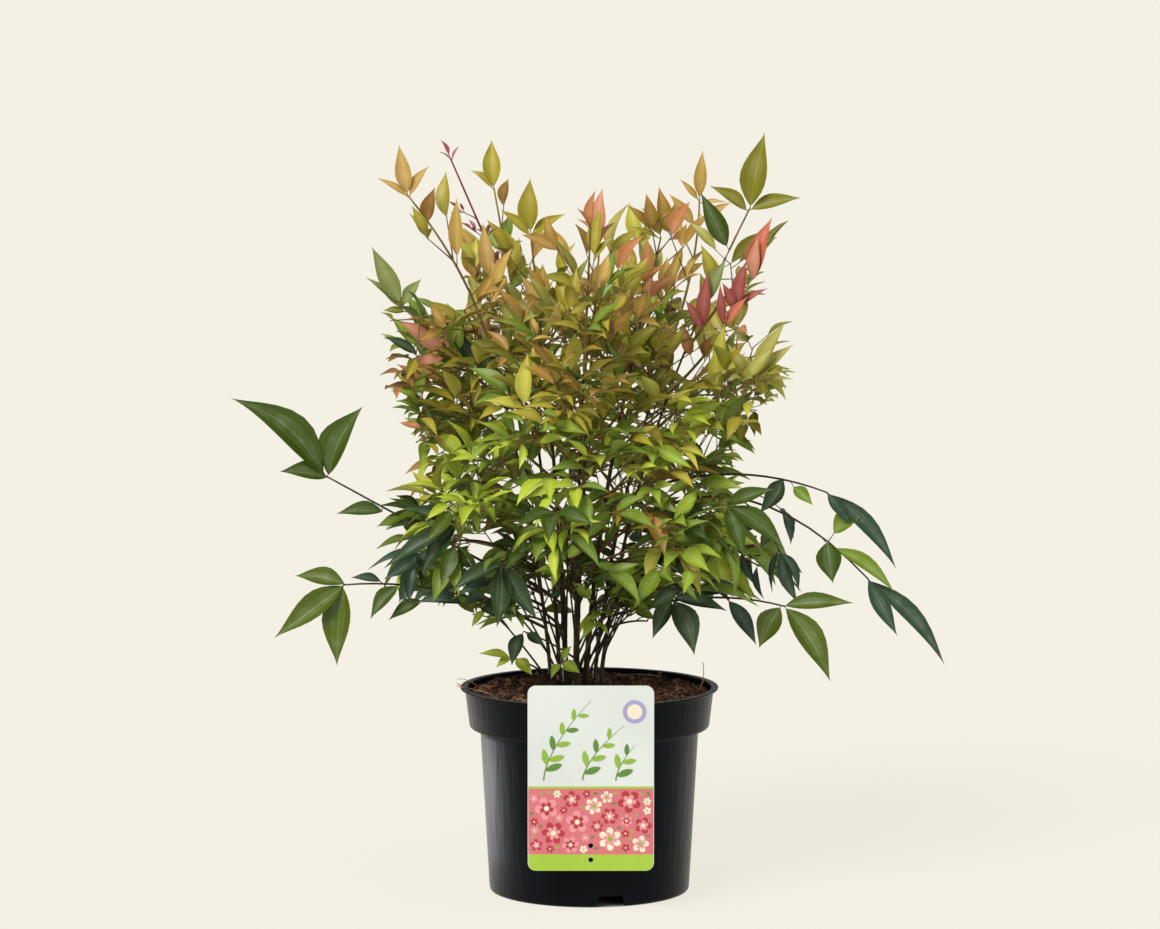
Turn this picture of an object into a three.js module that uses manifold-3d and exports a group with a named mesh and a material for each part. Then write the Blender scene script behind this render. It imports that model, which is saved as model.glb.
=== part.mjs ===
// Heavenly bamboo in its nursery pot: a clump of upright canes in compost, each cane carrying
// compound leaves from a drooping dark skirt up to an open tuft of bronze young growth.
// Millimetres, +Z up, origin at the centre of the pot's underside, front of the pot towards -Y.
import * as THREE from "three";
import { mergeVertices } from "three/addons/utils/BufferGeometryUtils.js";
import Module from "manifold-3d";

const wasm = await Module();
wasm.setup();

// ---------------------------------------------------------------- driving dimensions

const GAP = 0.3; // clearance between pieces that touch on the real plant
const UP = new THREE.Vector3(0, 0, 1);
const FRONT_AZIMUTH = 270; // degrees, counter-clockwise from +X, of the pot's front

const POT = {
  height: 152,
  wall: 1.7,
  lipRadius: 95.3, // the thin flange round the very top
  lipHeight: 1.6,
  bandTopRadius: 91.6, // the deep band under the flange
  bandFootRadius: 88.8,
  bandFootHeight: 124,
  shoulder: 2,
  wallTopRadius: 81,
  wallFootRadius: 74,
  cornerRadius: 3.2,
  floorHeight: 9, // the floor stands this far above the ground, on a foot ring and a boss
  bossRadius: 20,
  sides: 28,
  cornerSteps: 3,
};
// Drain notches through the foot, cut inwards to innerRadius from a little outside the wall.
const NOTCH = {
  count: 3,
  azimuth: 282,
  topWidth: 17.5,
  footWidth: 22.5,
  height: 8.5,
  innerRadius: 65,
  depth: 15,
};
const COMPOST = {
  surface: 146,
  lump: 1.6,
  flatRadius: 34,
  rings: [52, 70, 82],
  rimRadius: 88, // of its top, just inside the band
  sides: 14,
  seed: 31,
};
const LABEL = {
  width: 91,
  height: 135,
  foot: 32, // height of its lower edge above the ground
  thickness: 0.9,
  cornerRadius: 6,
  centreX: 0.9,
  holeRadius: 1.8,
  holeHeights: [8, 18.3], // above the lower edge
  clipWidth: 20,
  clipDrop: 5,
  clipPlay: 1.3, // room for the flat clip inside the round rim
  cornerSteps: 4,
};

const CLUMP = { x: -10, y: 0 };
// radii = at foot and tip, swell = of its foot, straight = how upright its lower half stays.
const CANE = { radii: [3.1, 1.7], swell: 1.2, sides: 6, rings: 5, straight: 0.2 };
// Two rings of canes, the outer ones fanning out like the sides of a vase. flankRise = how much
// taller those to the left and right stand than those in front and behind.
const CANE_RINGS = [
  { count: 5, azimuth: 194, foot: 18, reach: 84, height: 396, flankRise: 18 },
  { count: 3, azimuth: 150, foot: 7.5, reach: 36, height: 384, flankRise: 0 },
];

// One compound leaf per cane on each storey. at = share of the cane's height at which it leaves
// the cane, pitch = degrees above level, bare = share of the stalk below the first twigs,
// turn = degrees that each pair of twigs turns about the stalk, hang = how far leaflets nod.
const STOREYS = [
  {
    name: "skirt", at: 0.24, pitch: 30, reach: 124, droop: 0.45, bare: 0.5, pairs: 2, spread: 54,
    turn: 0, twig: 38, leaf: 50, breadth: 21, hang: 0.4, colour: "#2c4a27",
  },
  {
    name: "low", at: 0.42, pitch: 30, reach: 108, droop: 0.25, bare: 0.44, pairs: 2, spread: 54,
    turn: 0, twig: 38, leaf: 46, breadth: 20, hang: 0.3, colour: "#4f7a28",
  },
  {
    name: "middle", at: 0.61, pitch: 34, reach: 96, droop: 0.15, bare: 0.38, pairs: 2, spread: 52,
    turn: 20, twig: 38, leaf: 43, breadth: 19, hang: 0.15, colour: "#7fa02c",
  },
  {
    name: "upper", at: 0.8, pitch: 44, reach: 84, droop: 0.08, bare: 0.3, pairs: 2, spread: 48,
    turn: 40, twig: 36, leaf: 40, breadth: 17, hang: 0, colour: "#8f8a33",
  },
  {
    name: "tuft", at: 1, pitch: 0, reach: 112, droop: 0, bare: 0.16, pairs: 2, spread: 38,
    turn: 90, twig: 40, leaf: 39, breadth: 16, hang: -0.15, colour: "#a8743a",
  },
];
const TOP = 1; // the share of a cane's height that is its tip
const STOREY_TURN = 22; // degrees by which the sprays of every second storey are turned
const STOREY_DEPTH = 0.17; // share of the cane's height over which one storey's sprays are spread
const STOREY_STRIDE = 3; // order in which they climb: every third spray round the clump

// Single compound leaves that stand out of the crown. cane = the cane that bears it, in the order
// in which they are made, height = where it leaves the cane, tip = where its stalk ends.
const OUTLIERS = [
  {
    name: "left_high", cane: 1, height: 222, tip: [-188, -30, 309], droop: 0, bare: 0.8, pairs: 0,
    spread: 0, twig: 0, leaf: 80, breadth: 26, hang: -0.15, roll: -55, colour: "#3c6a2b",
  },
  {
    name: "left_low", cane: 1, height: 196, tip: [-178, -55, 230], droop: 0.3, bare: 0.75, pairs: 1,
    spread: 60, twig: 40, leaf: 58, breadth: 23, hang: 0.8, roll: -25, colour: "#3f6b30",
  },
  {
    name: "right_arch", cane: 3, height: 275, tip: [225, -20, 203], droop: 0.9, bare: 0.45, pairs: 3,
    spread: 44, twig: 38, leaf: 58, breadth: 18, hang: 0.7, roll: 20, colour: "#33533c",
  },
  {
    name: "right_low", cane: 3, height: 205, tip: [156, -60, 207], droop: 0.35, bare: 0.75, pairs: 1,
    spread: 62, twig: 38, leaf: 52, breadth: 22, hang: 0.35, roll: 30, colour: "#4a7a2c",
  },
];

// stalk and twig = radii at foot and tip, stagger = distance between the twigs of a pair,
// gather = below 1, draws the pairs towards the stalk's end, droop = of the stalk's own,
// shorter = second length tried where the first has no room.
const TWIG = {
  stalk: [1.8, 1.1],
  twig: [0.6, 0.7],
  stagger: 3.5,
  gather: 0.85,
  droop: 0.6,
  shorter: 0.7,
  sides: 3,
  steps: 3,
};

const LEAF = {
  widestAt: 0.42, // share of its length at which it is widest
  thickness: 0.024, // of its length, along the midrib
  fold: 0.22, // rise of the margins over the midrib, as a share of the half breadth
  arch: 0.05, // rise of the midrib's middle over its chord, as a share of the length
  // Four leaflets to a twig: the side each is on, and how far back from the twig's end it sits,
  // in millimetres and in leaflet lengths.
  seats: [
    [0, 0.5, 0],
    [1, 2.6, 0],
    [-1, 4.7, 0],
    [1, 0, 0.5],
  ],
  skew: 52, // degrees between a side leaflet and its twig
  sideSize: 0.86, // of the end leaflet
  smaller: 0.72, // second size tried where the first has no room
};
const FUSED_DETAIL = 0.03; // smallest step kept where twigs and leaflets run into each other
const CLEAR = { limb: 0.8, room: 2.2, lowest: 161 };

// How far things vary from their rule, to either side: degrees, millimetres for caneTop, and
// shares for the others.
const SWAY = {
  caneAzimuth: 9,
  caneReach: 0.08,
  caneTop: 8,
  sprayAzimuth: 7,
  sprayPitch: 6,
  sprayReach: 0.1,
  sprayRoll: 12,
  twigSpread: 8,
  twigLength: 0.12,
  leafRoll: 30,
  leafSkew: 9,
  leafHang: 0.3,
  leafSize: 0.14,
};
const OUTLIER_SEED = 120;

// A spray's room is known by places this far apart along its stalk and twigs, and by places
// beyond their ends, in leaflet lengths.
const ROOM = { spacing: 7, beyond: [0.25, 0.5, 0.75, 1], twigLeaf: 0.8 };

// How a stalk finds its place: the turns it tries, what a degree of turn costs against a
// millimetre of room, the room beyond which more is no better, the step by which its foot moves
// off the bark, and how many of its first places don't count, since all stalks start close.
const SEAT = {
  veers: [0, 7, -7, 14, -14, 21, -21, 28, -28],
  veerCost: 0.4,
  roomy: 45,
  step: 0.1,
  skip: 5,
};

// ---------------------------------------------------------------- helpers

const radians = THREE.MathUtils.degToRad;
const point = (x, y, z) => new THREE.Vector3(x, y, z);
const along = (azimuth, pitch = 0) =>
  point(
    Math.cos(radians(azimuth)) * Math.cos(radians(pitch)),
    Math.sin(radians(azimuth)) * Math.cos(radians(pitch)),
    Math.sin(radians(pitch)),
  );
const numbered = (name, k) => `${name}_${String(k).padStart(2, "0")}`;

// A number from -1 to 1 that depends only on the seed and the index.
function sway(seed, index) {
  const wave = Math.sin(seed * 12.9898 + index * 78.233) * 43758.5453;
  return 2 * (wave - Math.floor(wave)) - 1;
}

function solidOf(geometry) {
  const bare = geometry.clone();
  for (const name of Object.keys(bare.attributes)) {
    if (name !== "position") bare.deleteAttribute(name);
  }
  const merged = mergeVertices(bare, 1e-4);
  return new wasm.Manifold(
    new wasm.Mesh({
      numProp: 3,
      vertProperties: merged.attributes.position.array,
      triVerts: new Uint32Array(merged.index.array),
    }),
  );
}

function geometryOf(solid) {
  const mesh = solid.getMesh();
  const geometry = new THREE.BufferGeometry();
  geometry.setAttribute("position", new THREE.BufferAttribute(mesh.vertProperties, 3));
  geometry.setIndex(new THREE.BufferAttribute(mesh.triVerts, 1));
  geometry.computeVertexNormals();
  return geometry;
}

// The closed outline of a body of revolution about Z, from [radius, height] pairs.
function turned(profile, sides) {
  const geometry = new THREE.LatheGeometry(
    profile.map(([radius, height]) => new THREE.Vector2(radius, height)),
    sides,
  );
  return geometry.rotateX(Math.PI / 2);
}

// A limb with a flat end at each end of a curve, and the radii given for its rings.
function limb(curve, radii, sides) {
  const rings = radii.length - 1;
  const geometry = new THREE.CylinderGeometry(1, 1, 1, sides, rings);
  const places = geometry.attributes.position;
  const sections = radii.map((_, k) => section(curve, k / rings));
  for (let i = 0; i < places.count; i += 1) {
    const ring = Math.round((0.5 - places.getY(i)) * rings);
    const { centre, side, other } = sections[ring];
    const place = centre
      .clone()
      .addScaledVector(side, places.getX(i) * radii[ring])
      .addScaledVector(other, places.getZ(i) * radii[ring]);
    places.setXYZ(i, place.x, place.y, place.z);
  }
  return geometry;
}

const taper = ([start, end], rings) =>
  Array.from({ length: rings + 1 }, (_, k) => THREE.MathUtils.lerp(start, end, k / rings));

// The centre of a curve's cross-section, and two directions square to it and to each other.
function section(curve, share) {
  const ahead = share === 0 && curve.flatFoot ? UP : curve.getTangent(share);
  return { centre: curve.getPoint(share), ...frameOf(ahead) };
}

function frameOf(ahead) {
  const reference = Math.abs(ahead.z) > 0.9 ? point(1, 0, 0) : UP;
  const side = new THREE.Vector3().crossVectors(reference, ahead).normalize();
  const other = new THREE.Vector3().crossVectors(ahead, side).normalize();
  return { side, other };
}

// ---------------------------------------------------------------- pot, compost and label

function pot() {
  const { wall, height, floorHeight } = POT;
  const inner = POT.bandTopRadius - wall;
  const bandFoot = POT.bandFootRadius - wall;
  const floorTop = floorHeight + wall;
  const footRadius = POT.wallFootRadius - POT.cornerRadius;
  const corner = Array.from({ length: POT.cornerSteps + 1 }, (_, k) => {
    const angle = radians((k * 90) / POT.cornerSteps);
    const rise = POT.cornerRadius * (1 - Math.cos(angle));
    return [footRadius + POT.cornerRadius * Math.sin(angle), rise];
  });
  const body = turned(
    [
      [0, 0],
      [POT.bossRadius, 0],
      [POT.bossRadius, floorHeight],
      [footRadius - wall, floorHeight],
      [footRadius - wall, 0],
      ...corner,
      [POT.wallTopRadius, POT.bandFootHeight - POT.shoulder],
      [POT.bandFootRadius - POT.shoulder, POT.bandFootHeight - POT.shoulder],
      [POT.bandFootRadius, POT.bandFootHeight],
      [POT.bandTopRadius, height - 2 * POT.lipHeight],
      [POT.lipRadius, height - POT.lipHeight],
      [POT.lipRadius, height],
      [inner, height],
      [bandFoot, POT.bandFootHeight + wall],
      [POT.wallTopRadius - wall, POT.bandFootHeight - wall],
      [POT.wallFootRadius - wall, floorTop],
      [0, floorTop],
    ],
    POT.sides,
  );
  return drainNotches().reduce((solid, notch) => solid.subtract(solidOf(notch)), solidOf(body));
}

function drainNotches() {
  const half = NOTCH.topWidth / 2;
  const outline = new THREE.Shape([
    new THREE.Vector2(-NOTCH.footWidth / 2, -1),
    new THREE.Vector2(NOTCH.footWidth / 2, -1),
    new THREE.Vector2(half, NOTCH.height),
    new THREE.Vector2(-half, NOTCH.height),
  ]);
  return Array.from({ length: NOTCH.count }, (_, k) =>
    new THREE.ExtrudeGeometry(outline, { depth: NOTCH.depth, bevelEnabled: false })
      .rotateX(Math.PI / 2)
      .translate(0, -NOTCH.innerRadius, 0)
      .rotateZ(radians(NOTCH.azimuth - FRONT_AZIMUTH + (k * 360) / NOTCH.count)),
  );
}

// The fill of the pot, a lumpy top round a flat place where the clump stands.
function compost() {
  const floorTop = POT.floorHeight + POT.wall + GAP;
  const wallFoot = POT.wallFootRadius - POT.wall - 2 * GAP;
  const wallTop = POT.wallTopRadius - POT.wall - 2 * GAP;
  const bandFoot = POT.bandFootRadius - POT.wall - 3 * GAP;
  const shoulderHeight = POT.bandFootHeight + POT.wall + GAP;
  const profile = [
    [0, floorTop],
    [wallFoot, floorTop],
    [wallTop, shoulderHeight - 2 * POT.wall],
    [bandFoot, shoulderHeight + GAP],
    [COMPOST.rimRadius, COMPOST.surface - COMPOST.lump],
    ...COMPOST.rings.toReversed().map((radius) => [radius, COMPOST.surface]),
    [COMPOST.flatRadius, COMPOST.surface],
    [0, COMPOST.surface],
  ];
  const geometry = mergeVertices(strip(turned(profile, COMPOST.sides)), 1e-3);
  const places = geometry.attributes.position;
  for (let i = 0; i < places.count; i += 1) {
    const radius = Math.hypot(places.getX(i), places.getY(i));
    const onTop = places.getZ(i) > COMPOST.surface - 0.01 && radius > COMPOST.flatRadius + 1;
    if (onTop) places.setZ(i, COMPOST.surface + COMPOST.lump * sway(COMPOST.seed, i));
  }
  return solidOf(geometry);
}

function strip(geometry) {
  geometry.deleteAttribute("normal");
  geometry.deleteAttribute("uv");
  return geometry;
}

// A card on the front of the pot, with a tongue that hooks over the rim.
function label() {
  const { width, height, cornerRadius, thickness, clipWidth } = LABEL;
  const x = width / 2;
  const outline = new THREE.Shape();
  outline.moveTo(-x + cornerRadius, 0);
  outline.lineTo(x - cornerRadius, 0);
  outline.absarc(x - cornerRadius, cornerRadius, cornerRadius, -Math.PI / 2, 0);
  outline.absarc(x - cornerRadius, height - cornerRadius, cornerRadius, 0, Math.PI / 2);
  outline.absarc(-x + cornerRadius, height - cornerRadius, cornerRadius, Math.PI / 2, Math.PI);
  outline.absarc(-x + cornerRadius, cornerRadius, cornerRadius, Math.PI, Math.PI * 1.5);
  for (const holeHeight of LABEL.holeHeights) {
    const hole = new THREE.Path();
    hole.absarc(0, holeHeight, LABEL.holeRadius, 0, 2 * Math.PI, true);
    outline.holes.push(hole);
  }
  const back = -(POT.lipRadius + GAP);
  const card = new THREE.ExtrudeGeometry(outline, {
    depth: thickness,
    bevelEnabled: false,
    curveSegments: LABEL.cornerSteps,
  })
    .rotateX(Math.PI / 2)
    .translate(LABEL.centreX, back, LABEL.foot);
  const rim = POT.height + GAP;
  const inside = -(POT.bandTopRadius - POT.wall - GAP - LABEL.clipPlay);
  const hook = new THREE.Shape([
    new THREE.Vector2(back - thickness / 2, rim),
    new THREE.Vector2(inside, rim),
    new THREE.Vector2(inside, rim - LABEL.clipDrop),
    new THREE.Vector2(inside + thickness, rim - LABEL.clipDrop),
    new THREE.Vector2(inside + thickness, rim + thickness),
    new THREE.Vector2(back - thickness / 2, rim + thickness),
  ]);
  const onSide = new THREE.Matrix4().makeBasis(point(0, 1, 0), UP, point(1, 0, 0));
  const clip = new THREE.ExtrudeGeometry(hook, { depth: clipWidth, bevelEnabled: false })
    .applyMatrix4(onSide)
    .translate(-clipWidth / 2, 0, 0);
  return solidOf(card).add(solidOf(clip));
}

// ---------------------------------------------------------------- canes

function caneCurves() {
  const canes = [];
  for (const ring of CANE_RINGS) {
    for (let k = 0; k < ring.count; k += 1) {
      const seed = canes.length + 1;
      const azimuth = ring.azimuth + (k * 360) / ring.count + SWAY.caneAzimuth * sway(seed, 1);
      const foot = along(azimuth)
        .multiplyScalar(ring.foot)
        .add(point(CLUMP.x, CLUMP.y, COMPOST.surface + GAP));
      const flank = Math.cos(radians(azimuth)) ** 2;
      const reach = ring.reach * (1 + SWAY.caneReach * sway(seed, 2));
      const tip = along(azimuth).multiplyScalar(reach);
      tip.z = ring.height + ring.flankRise * flank + SWAY.caneTop * sway(seed, 3);
      const knee = foot.clone().lerp(tip, CANE.straight);
      knee.z = THREE.MathUtils.lerp(foot.z, tip.z, 0.5);
      const curve = new THREE.QuadraticBezierCurve3(foot, knee, tip);
      curve.flatFoot = true;
      canes.push({ name: numbered("cane", seed), azimuth, curve, foot, tip });
    }
  }
  for (const cane of canes) {
    cane.line = cane.curve.getPoints(CANE.rings);
    cane.radii = taper(CANE.radii, CANE.rings);
    cane.radii[0] *= CANE.swell;
    const clear = cane.radii.map((radius) => radius + CLEAR.limb);
    cane.keepOut = solidOf(limb(cane.curve, clear, CANE.sides));
  }
  return canes;
}

// Distance from a point to the nearest cane's bark.
function barkDistance(place, canes) {
  let least = Infinity;
  for (const { line, radii } of canes) {
    for (let k = 1; k < line.length; k += 1) {
      const length = new THREE.Line3(line[k - 1], line[k]);
      const part = length.closestPointToPointParameter(place, true);
      const radius = THREE.MathUtils.lerp(radii[k - 1], radii[k], part);
      least = Math.min(least, length.at(part, new THREE.Vector3()).distanceTo(place) - radius);
    }
  }
  return least;
}

// ---------------------------------------------------------------- sprays of leaves

// A stalk's line: it leaves along ahead and sinks below that by droop times its length.
function bent(start, ahead, length, droop, steps) {
  return Array.from({ length: steps + 1 }, (_, k) => {
    const share = k / steps;
    const place = start.clone().addScaledVector(ahead, length * share);
    place.z -= droop * length * share * share;
    return place;
  });
}

const turnedBy = (vector, axis, degrees) => vector.clone().applyAxisAngle(axis, radians(degrees));

// The direction of a line's last step.
const heading = (line) => line.at(-1).clone().sub(line.at(-2)).normalize();

// The direction square to ahead that is nearest to up, rolled about ahead.
function uprightOf(ahead, roll) {
  const across = new THREE.Vector3().crossVectors(UP, ahead);
  if (across.lengthSq() < 0.01) across.set(1, 0, 0);
  const upright = new THREE.Vector3().crossVectors(ahead, across).normalize();
  return turnedBy(upright, ahead, roll);
}

function placeOn(line, share) {
  const step = share * (line.length - 1);
  const k = Math.min(Math.floor(step), line.length - 2);
  return line[k].clone().lerp(line[k + 1], step - k);
}

// The lines and leaflets of one compound leaf: a stalk with pairs of twigs, and four leaflets
// towards the end of each twig and of the stalk.
function layOut(spray) {
  const { seed, line, ahead, reach, droop, pairs, bare, roll } = spray;
  const tip = heading(line);
  const twigs = [];
  for (let pair = 0; pair < pairs; pair += 1) {
    const share = bare + (1 - bare) * (pair / pairs) ** TWIG.gather;
    const way = ahead.clone().lerp(tip, share).normalize();
    const upright = uprightOf(way, roll + spray.turn * pair);
    for (const side of [-1, 1]) {
      const index = 10 + pair * 10 + side;
      const root = placeOn(line, share + (side * TWIG.stagger) / (2 * reach));
      const out = turnedBy(way, upright, side * (spray.spread + SWAY.twigSpread * sway(seed, index)));
      const length = spray.twig * (1 + SWAY.twigLength * sway(seed, index + 3));
      const sizes = [1, TWIG.shorter].map((size) => {
        const twig = bent(root, out, length * size, droop * TWIG.droop, 1);
        return { line: twig, leaflets: leafletsOn(spray, twig, index) };
      });
      twigs.push(sizes);
    }
  }
  return { ...spray, twigs, leaflets: leafletsOn(spray, line, 0) };
}

function leafletsOn(spray, line, index) {
  const way = heading(line);
  return LEAF.seats.map(([side, back, backLeaves], k) => {
    const vary = (by, step) => by * sway(spray.seed, index * step + k);
    const tilt = spray.roll + vary(SWAY.leafRoll, 7);
    const skew = side * (LEAF.skew + vary(SWAY.leafSkew, 5));
    const ahead = turnedBy(way, uprightOf(way, tilt), skew);
    ahead.z -= spray.hang * (1 + vary(SWAY.leafHang, 3));
    ahead.normalize();
    const size = (side === 0 ? 1 : LEAF.sideSize) * (1 + vary(SWAY.leafSize, 11));
    return {
      root: line.at(-1).clone().addScaledVector(way, -back - backLeaves * spray.leaf),
      ahead,
      upright: uprightOf(ahead, tilt),
      length: spray.leaf * size,
      breadth: spray.breadth * size,
    };
  });
}

// The six corners of a leaflet: root, tip, margins, and the midrib's upper and lower face.
function corners({ root, ahead, upright, length, breadth }) {
  const across = new THREE.Vector3().crossVectors(upright, ahead);
  const middle = root
    .clone()
    .addScaledVector(ahead, LEAF.widestAt * length)
    .addScaledVector(upright, LEAF.arch * length);
  const margin = (side) =>
    middle
      .clone()
      .addScaledVector(across, (side * breadth) / 2)
      .addScaledVector(upright, (LEAF.fold * breadth) / 2);
  const rib = (side) => middle.clone().addScaledVector(upright, (side * LEAF.thickness * length) / 2);
  const tip = root.clone().addScaledVector(ahead, length);
  return { root, tip, left: margin(1), right: margin(-1), upper: rib(1), lower: rib(-1), middle };
}

function leafGeometry(leaflet) {
  const { root, tip, left, right, upper, lower } = corners(leaflet);
  const geometry = strip(new THREE.OctahedronGeometry(1));
  const places = geometry.attributes.position;
  for (let i = 0; i < places.count; i += 1) {
    const [x, y, z] = [places.getX(i), places.getY(i), places.getZ(i)].map(Math.round);
    const corner = x > 0 ? tip : x < 0 ? root : y > 0 ? left : y < 0 ? right : z > 0 ? upper : lower;
    places.setXYZ(i, corner.x, corner.y, corner.z);
  }
  return geometry;
}

// Points spread over a leaflet, at which its room is tested.
function probes(leaflet) {
  const { root, tip, left, right, middle } = corners(leaflet);
  const half = (a, b) => a.clone().lerp(b, 0.5);
  return [
    middle, tip, left, right, half(root, middle), half(middle, tip),
    half(left, tip), half(right, tip), half(root, left), half(root, right),
  ];
}

// Every spray of the plant, with its place on its cane. A storey's sprays point evenly all round,
// each as near to its own cane's side of the clump as that allows.
function sprayList(canes) {
  const around = canes.toSorted((a, b) => (a.azimuth % 360) - (b.azimuth % 360));
  const step = 360 / around.length;
  const offsets = around.map((cane, k) => (cane.azimuth % 360) - k * step);
  const base = offsets.reduce((sum, offset) => sum + offset, 0) / offsets.length - STOREY_TURN / 2;
  const climb = (k) => (((k * STOREY_STRIDE) % around.length) + 0.5) / around.length - 0.5;
  const sprays = STOREYS.flatMap((storey, level) =>
    around.map((cane, k) => {
      const seed = (level + 1) * 20 + k;
      return {
        ...storey,
        seed,
        cane,
        name: numbered(storey.name, k + 1),
        share: storey.at === TOP ? TOP : storey.at + STOREY_DEPTH * climb(k),
        azimuth: base + k * step + STOREY_TURN * (level % 2) + SWAY.sprayAzimuth * sway(seed, 1),
        pitch: storey.pitch + SWAY.sprayPitch * sway(seed, 3),
        reach: storey.reach * (1 + SWAY.sprayReach * sway(seed, 4)),
        roll: SWAY.sprayRoll * sway(seed, 5),
      };
    }),
  );
  return [...OUTLIERS.map((outlier, k) => aimed(outlier, canes, OUTLIER_SEED + k)), ...sprays];
}

// An outlier leaves its cane so that its stalk, as it sinks, ends at the place named for it.
function aimed(outlier, canes, seed) {
  const cane = canes[outlier.cane - 1];
  const share = (outlier.height - cane.foot.z) / (cane.tip.z - cane.foot.z);
  const way = point(...outlier.tip).sub(placeOn(cane.line, share));
  way.z += outlier.droop * way.length();
  return {
    ...outlier,
    seed,
    cane,
    share,
    turn: 0,
    reach: way.length(),
    azimuth: THREE.MathUtils.radToDeg(Math.atan2(way.y, way.x)),
    pitch: THREE.MathUtils.radToDeg(Math.asin(way.z / way.length())),
  };
}

// Seats a spray's foot just off its cane, and turns it to where its stalk passes the other canes
// and the stalks that are seated already, with the most room round it.
function seat(spray, canes, seated) {
  const { cane, share } = spray;
  const centre = placeOn(cane.line, share);
  if (share === TOP) {
    const ahead = cane.curve.getTangent(1);
    return settled({ ...spray, ahead, start: centre.addScaledVector(ahead, GAP) });
  }
  const others = [...canes.filter((other) => other !== cane), ...seated];
  const stalks = seated.flatMap(({ room }) => room);
  const tries = SEAT.veers.map((veer) => {
    const ahead = along(spray.azimuth + veer, spray.pitch);
    const moved = { ...spray, ahead, start: centre.clone() };
    while (footGap(moved) < GAP) moved.start.addScaledVector(ahead, SEAT.step);
    const placed = settled(moved);
    const spacing = placed.room.slice(SEAT.skip).map((place) => nearest(place, stalks));
    const blocked = passes(placed, others) ? 0 : SEAT.roomy;
    const ease = Math.min(SEAT.roomy, ...spacing) - SEAT.veerCost * Math.abs(veer) - blocked;
    return { ...placed, ease };
  });
  return tries.reduce((best, placed) => (placed.ease > best.ease ? placed : best));
}

function settled(spray) {
  const line = stalkLine(spray);
  const wide = TWIG.stalk.map((radius) => radius + CLEAR.limb);
  return { ...spray, line, keepOut: twigSolid(line, wide), room: sites(line, spray.leaf).carried };
}

const passes = (piece, others) =>
  others.every(({ keepOut }) => (piece.keepOut ?? piece.solid).intersect(keepOut).isEmpty());

function stalkLine({ start, ahead, reach, droop }) {
  return bent(start, ahead, reach, droop, droop === 0 ? 1 : TWIG.steps);
}

// The least distance from the rim of a stalk's foot to its own cane's bark.
function footGap({ start, ahead, cane }) {
  const { side, other } = frameOf(ahead);
  const rim = [0, 60, 120, 180, 240, 300].map((turn) =>
    start
      .clone()
      .addScaledVector(side, TWIG.stalk[0] * Math.cos(radians(turn)))
      .addScaledVector(other, TWIG.stalk[0] * Math.sin(radians(turn))),
  );
  return Math.min(...rim.map((place) => barkDistance(place, [cane])));
}

// Places along a line, carried on by a leaflet's length, that say whose room is round them.
function sites(line, leaf) {
  const curve = new THREE.CatmullRomCurve3(line, false, "chordal");
  const spaced = curve.getPoints(Math.max(2, Math.round(curve.getLength() / ROOM.spacing)));
  const way = heading(line);
  const beyond = ROOM.beyond.map((share) => line.at(-1).clone().addScaledVector(way, leaf * share));
  return { own: spaced, carried: [...spaced, ...beyond] };
}

const nearest = (place, list) =>
  list.reduce((least, other) => Math.min(least, other.distanceTo(place)), Infinity);

// Gives every spray the twigs and leaflets that stay in its own room and touch no cane.
function growSprays(canes) {
  const sprays = [];
  for (const spray of sprayList(canes)) sprays.push(layOut(seat(spray, canes, sprays)));
  const roomTest = (spray) => {
    const strangers = sprays.filter((other) => other !== spray).flatMap(({ room }) => room);
    return (place) => nearest(place, strangers) > nearest(place, spray.room) + CLEAR.room;
  };
  for (const spray of sprays) keepTwigs(spray, roomTest(spray), canes);
  for (const { room, twigs, leaf } of sprays) {
    room.push(...twigs.flatMap(({ line }) => sites(line, ROOM.twigLeaf * leaf).carried));
  }
  for (const spray of sprays) keepLeaflets(spray, roomTest(spray), canes);
  return sprays;
}

// Keeps each twig at the first of its lengths that has room.
function keepTwigs(spray, inRoom, canes) {
  const hasRoom = ({ line }) =>
    passes({ solid: twigSolid(line, TWIG.twig) }, canes) && sites(line, 0).own.slice(1).every(inRoom);
  spray.twigs = spray.twigs.map((sizes) => sizes.find(hasRoom)).filter((twig) => twig);
}

// Keeps each leaflet that has room and crosses no other leaflet or twig of its spray, and then
// the twigs that bear one.
function keepLeaflets(spray, inRoom, canes) {
  const hasRoom = (leaflet) =>
    probes(leaflet).every((place) => place.z > CLEAR.lowest && inRoom(place));
  const wood = [spray, ...spray.twigs].map(({ line, leaflets }) => ({
    line,
    leaflets,
    solid: twigSolid(line, line === spray.line ? TWIG.stalk : TWIG.twig),
  }));
  spray.blades = [];
  for (const { line, leaflets } of wood) {
    const otherWood = wood.filter((other) => other.line !== line);
    for (const leaflet of leaflets) {
      const sized = [leaflet, shrunk(leaflet)].find(hasRoom);
      if (!sized) continue;
      const blade = { line, solid: solidOf(leafGeometry(sized)) };
      const blocking = [...otherWood, ...spray.blades];
      const free = blocking.every(({ solid }) => blade.solid.intersect(solid).isEmpty());
      if (free && passes(blade, canes)) spray.blades.push(blade);
    }
  }
  const leafy = ({ line }) => line === spray.line || spray.blades.some((blade) => blade.line === line);
  spray.wood = wood.filter(leafy);
}

const shrunk = (leaflet) => ({
  ...leaflet,
  length: leaflet.length * LEAF.smaller,
  breadth: leaflet.breadth * LEAF.smaller,
});

function twigSolid(line, radii) {
  const curve = new THREE.CatmullRomCurve3(line, false, "chordal");
  return solidOf(limb(curve, taper(radii, line.length - 1), TWIG.sides));
}

// One fused solid: the stalk, its twigs and its leaflets. Loose scraps are dropped.
function spraySolid({ wood, blades }) {
  const fused = wasm.Manifold.union([...wood, ...blades].map(({ solid }) => solid));
  const bodies = fused.simplify(FUSED_DETAIL).decompose();
  return bodies.reduce((most, body) => (body.volume() > most.volume() ? body : most));
}

// ---------------------------------------------------------------- the plant

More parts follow.
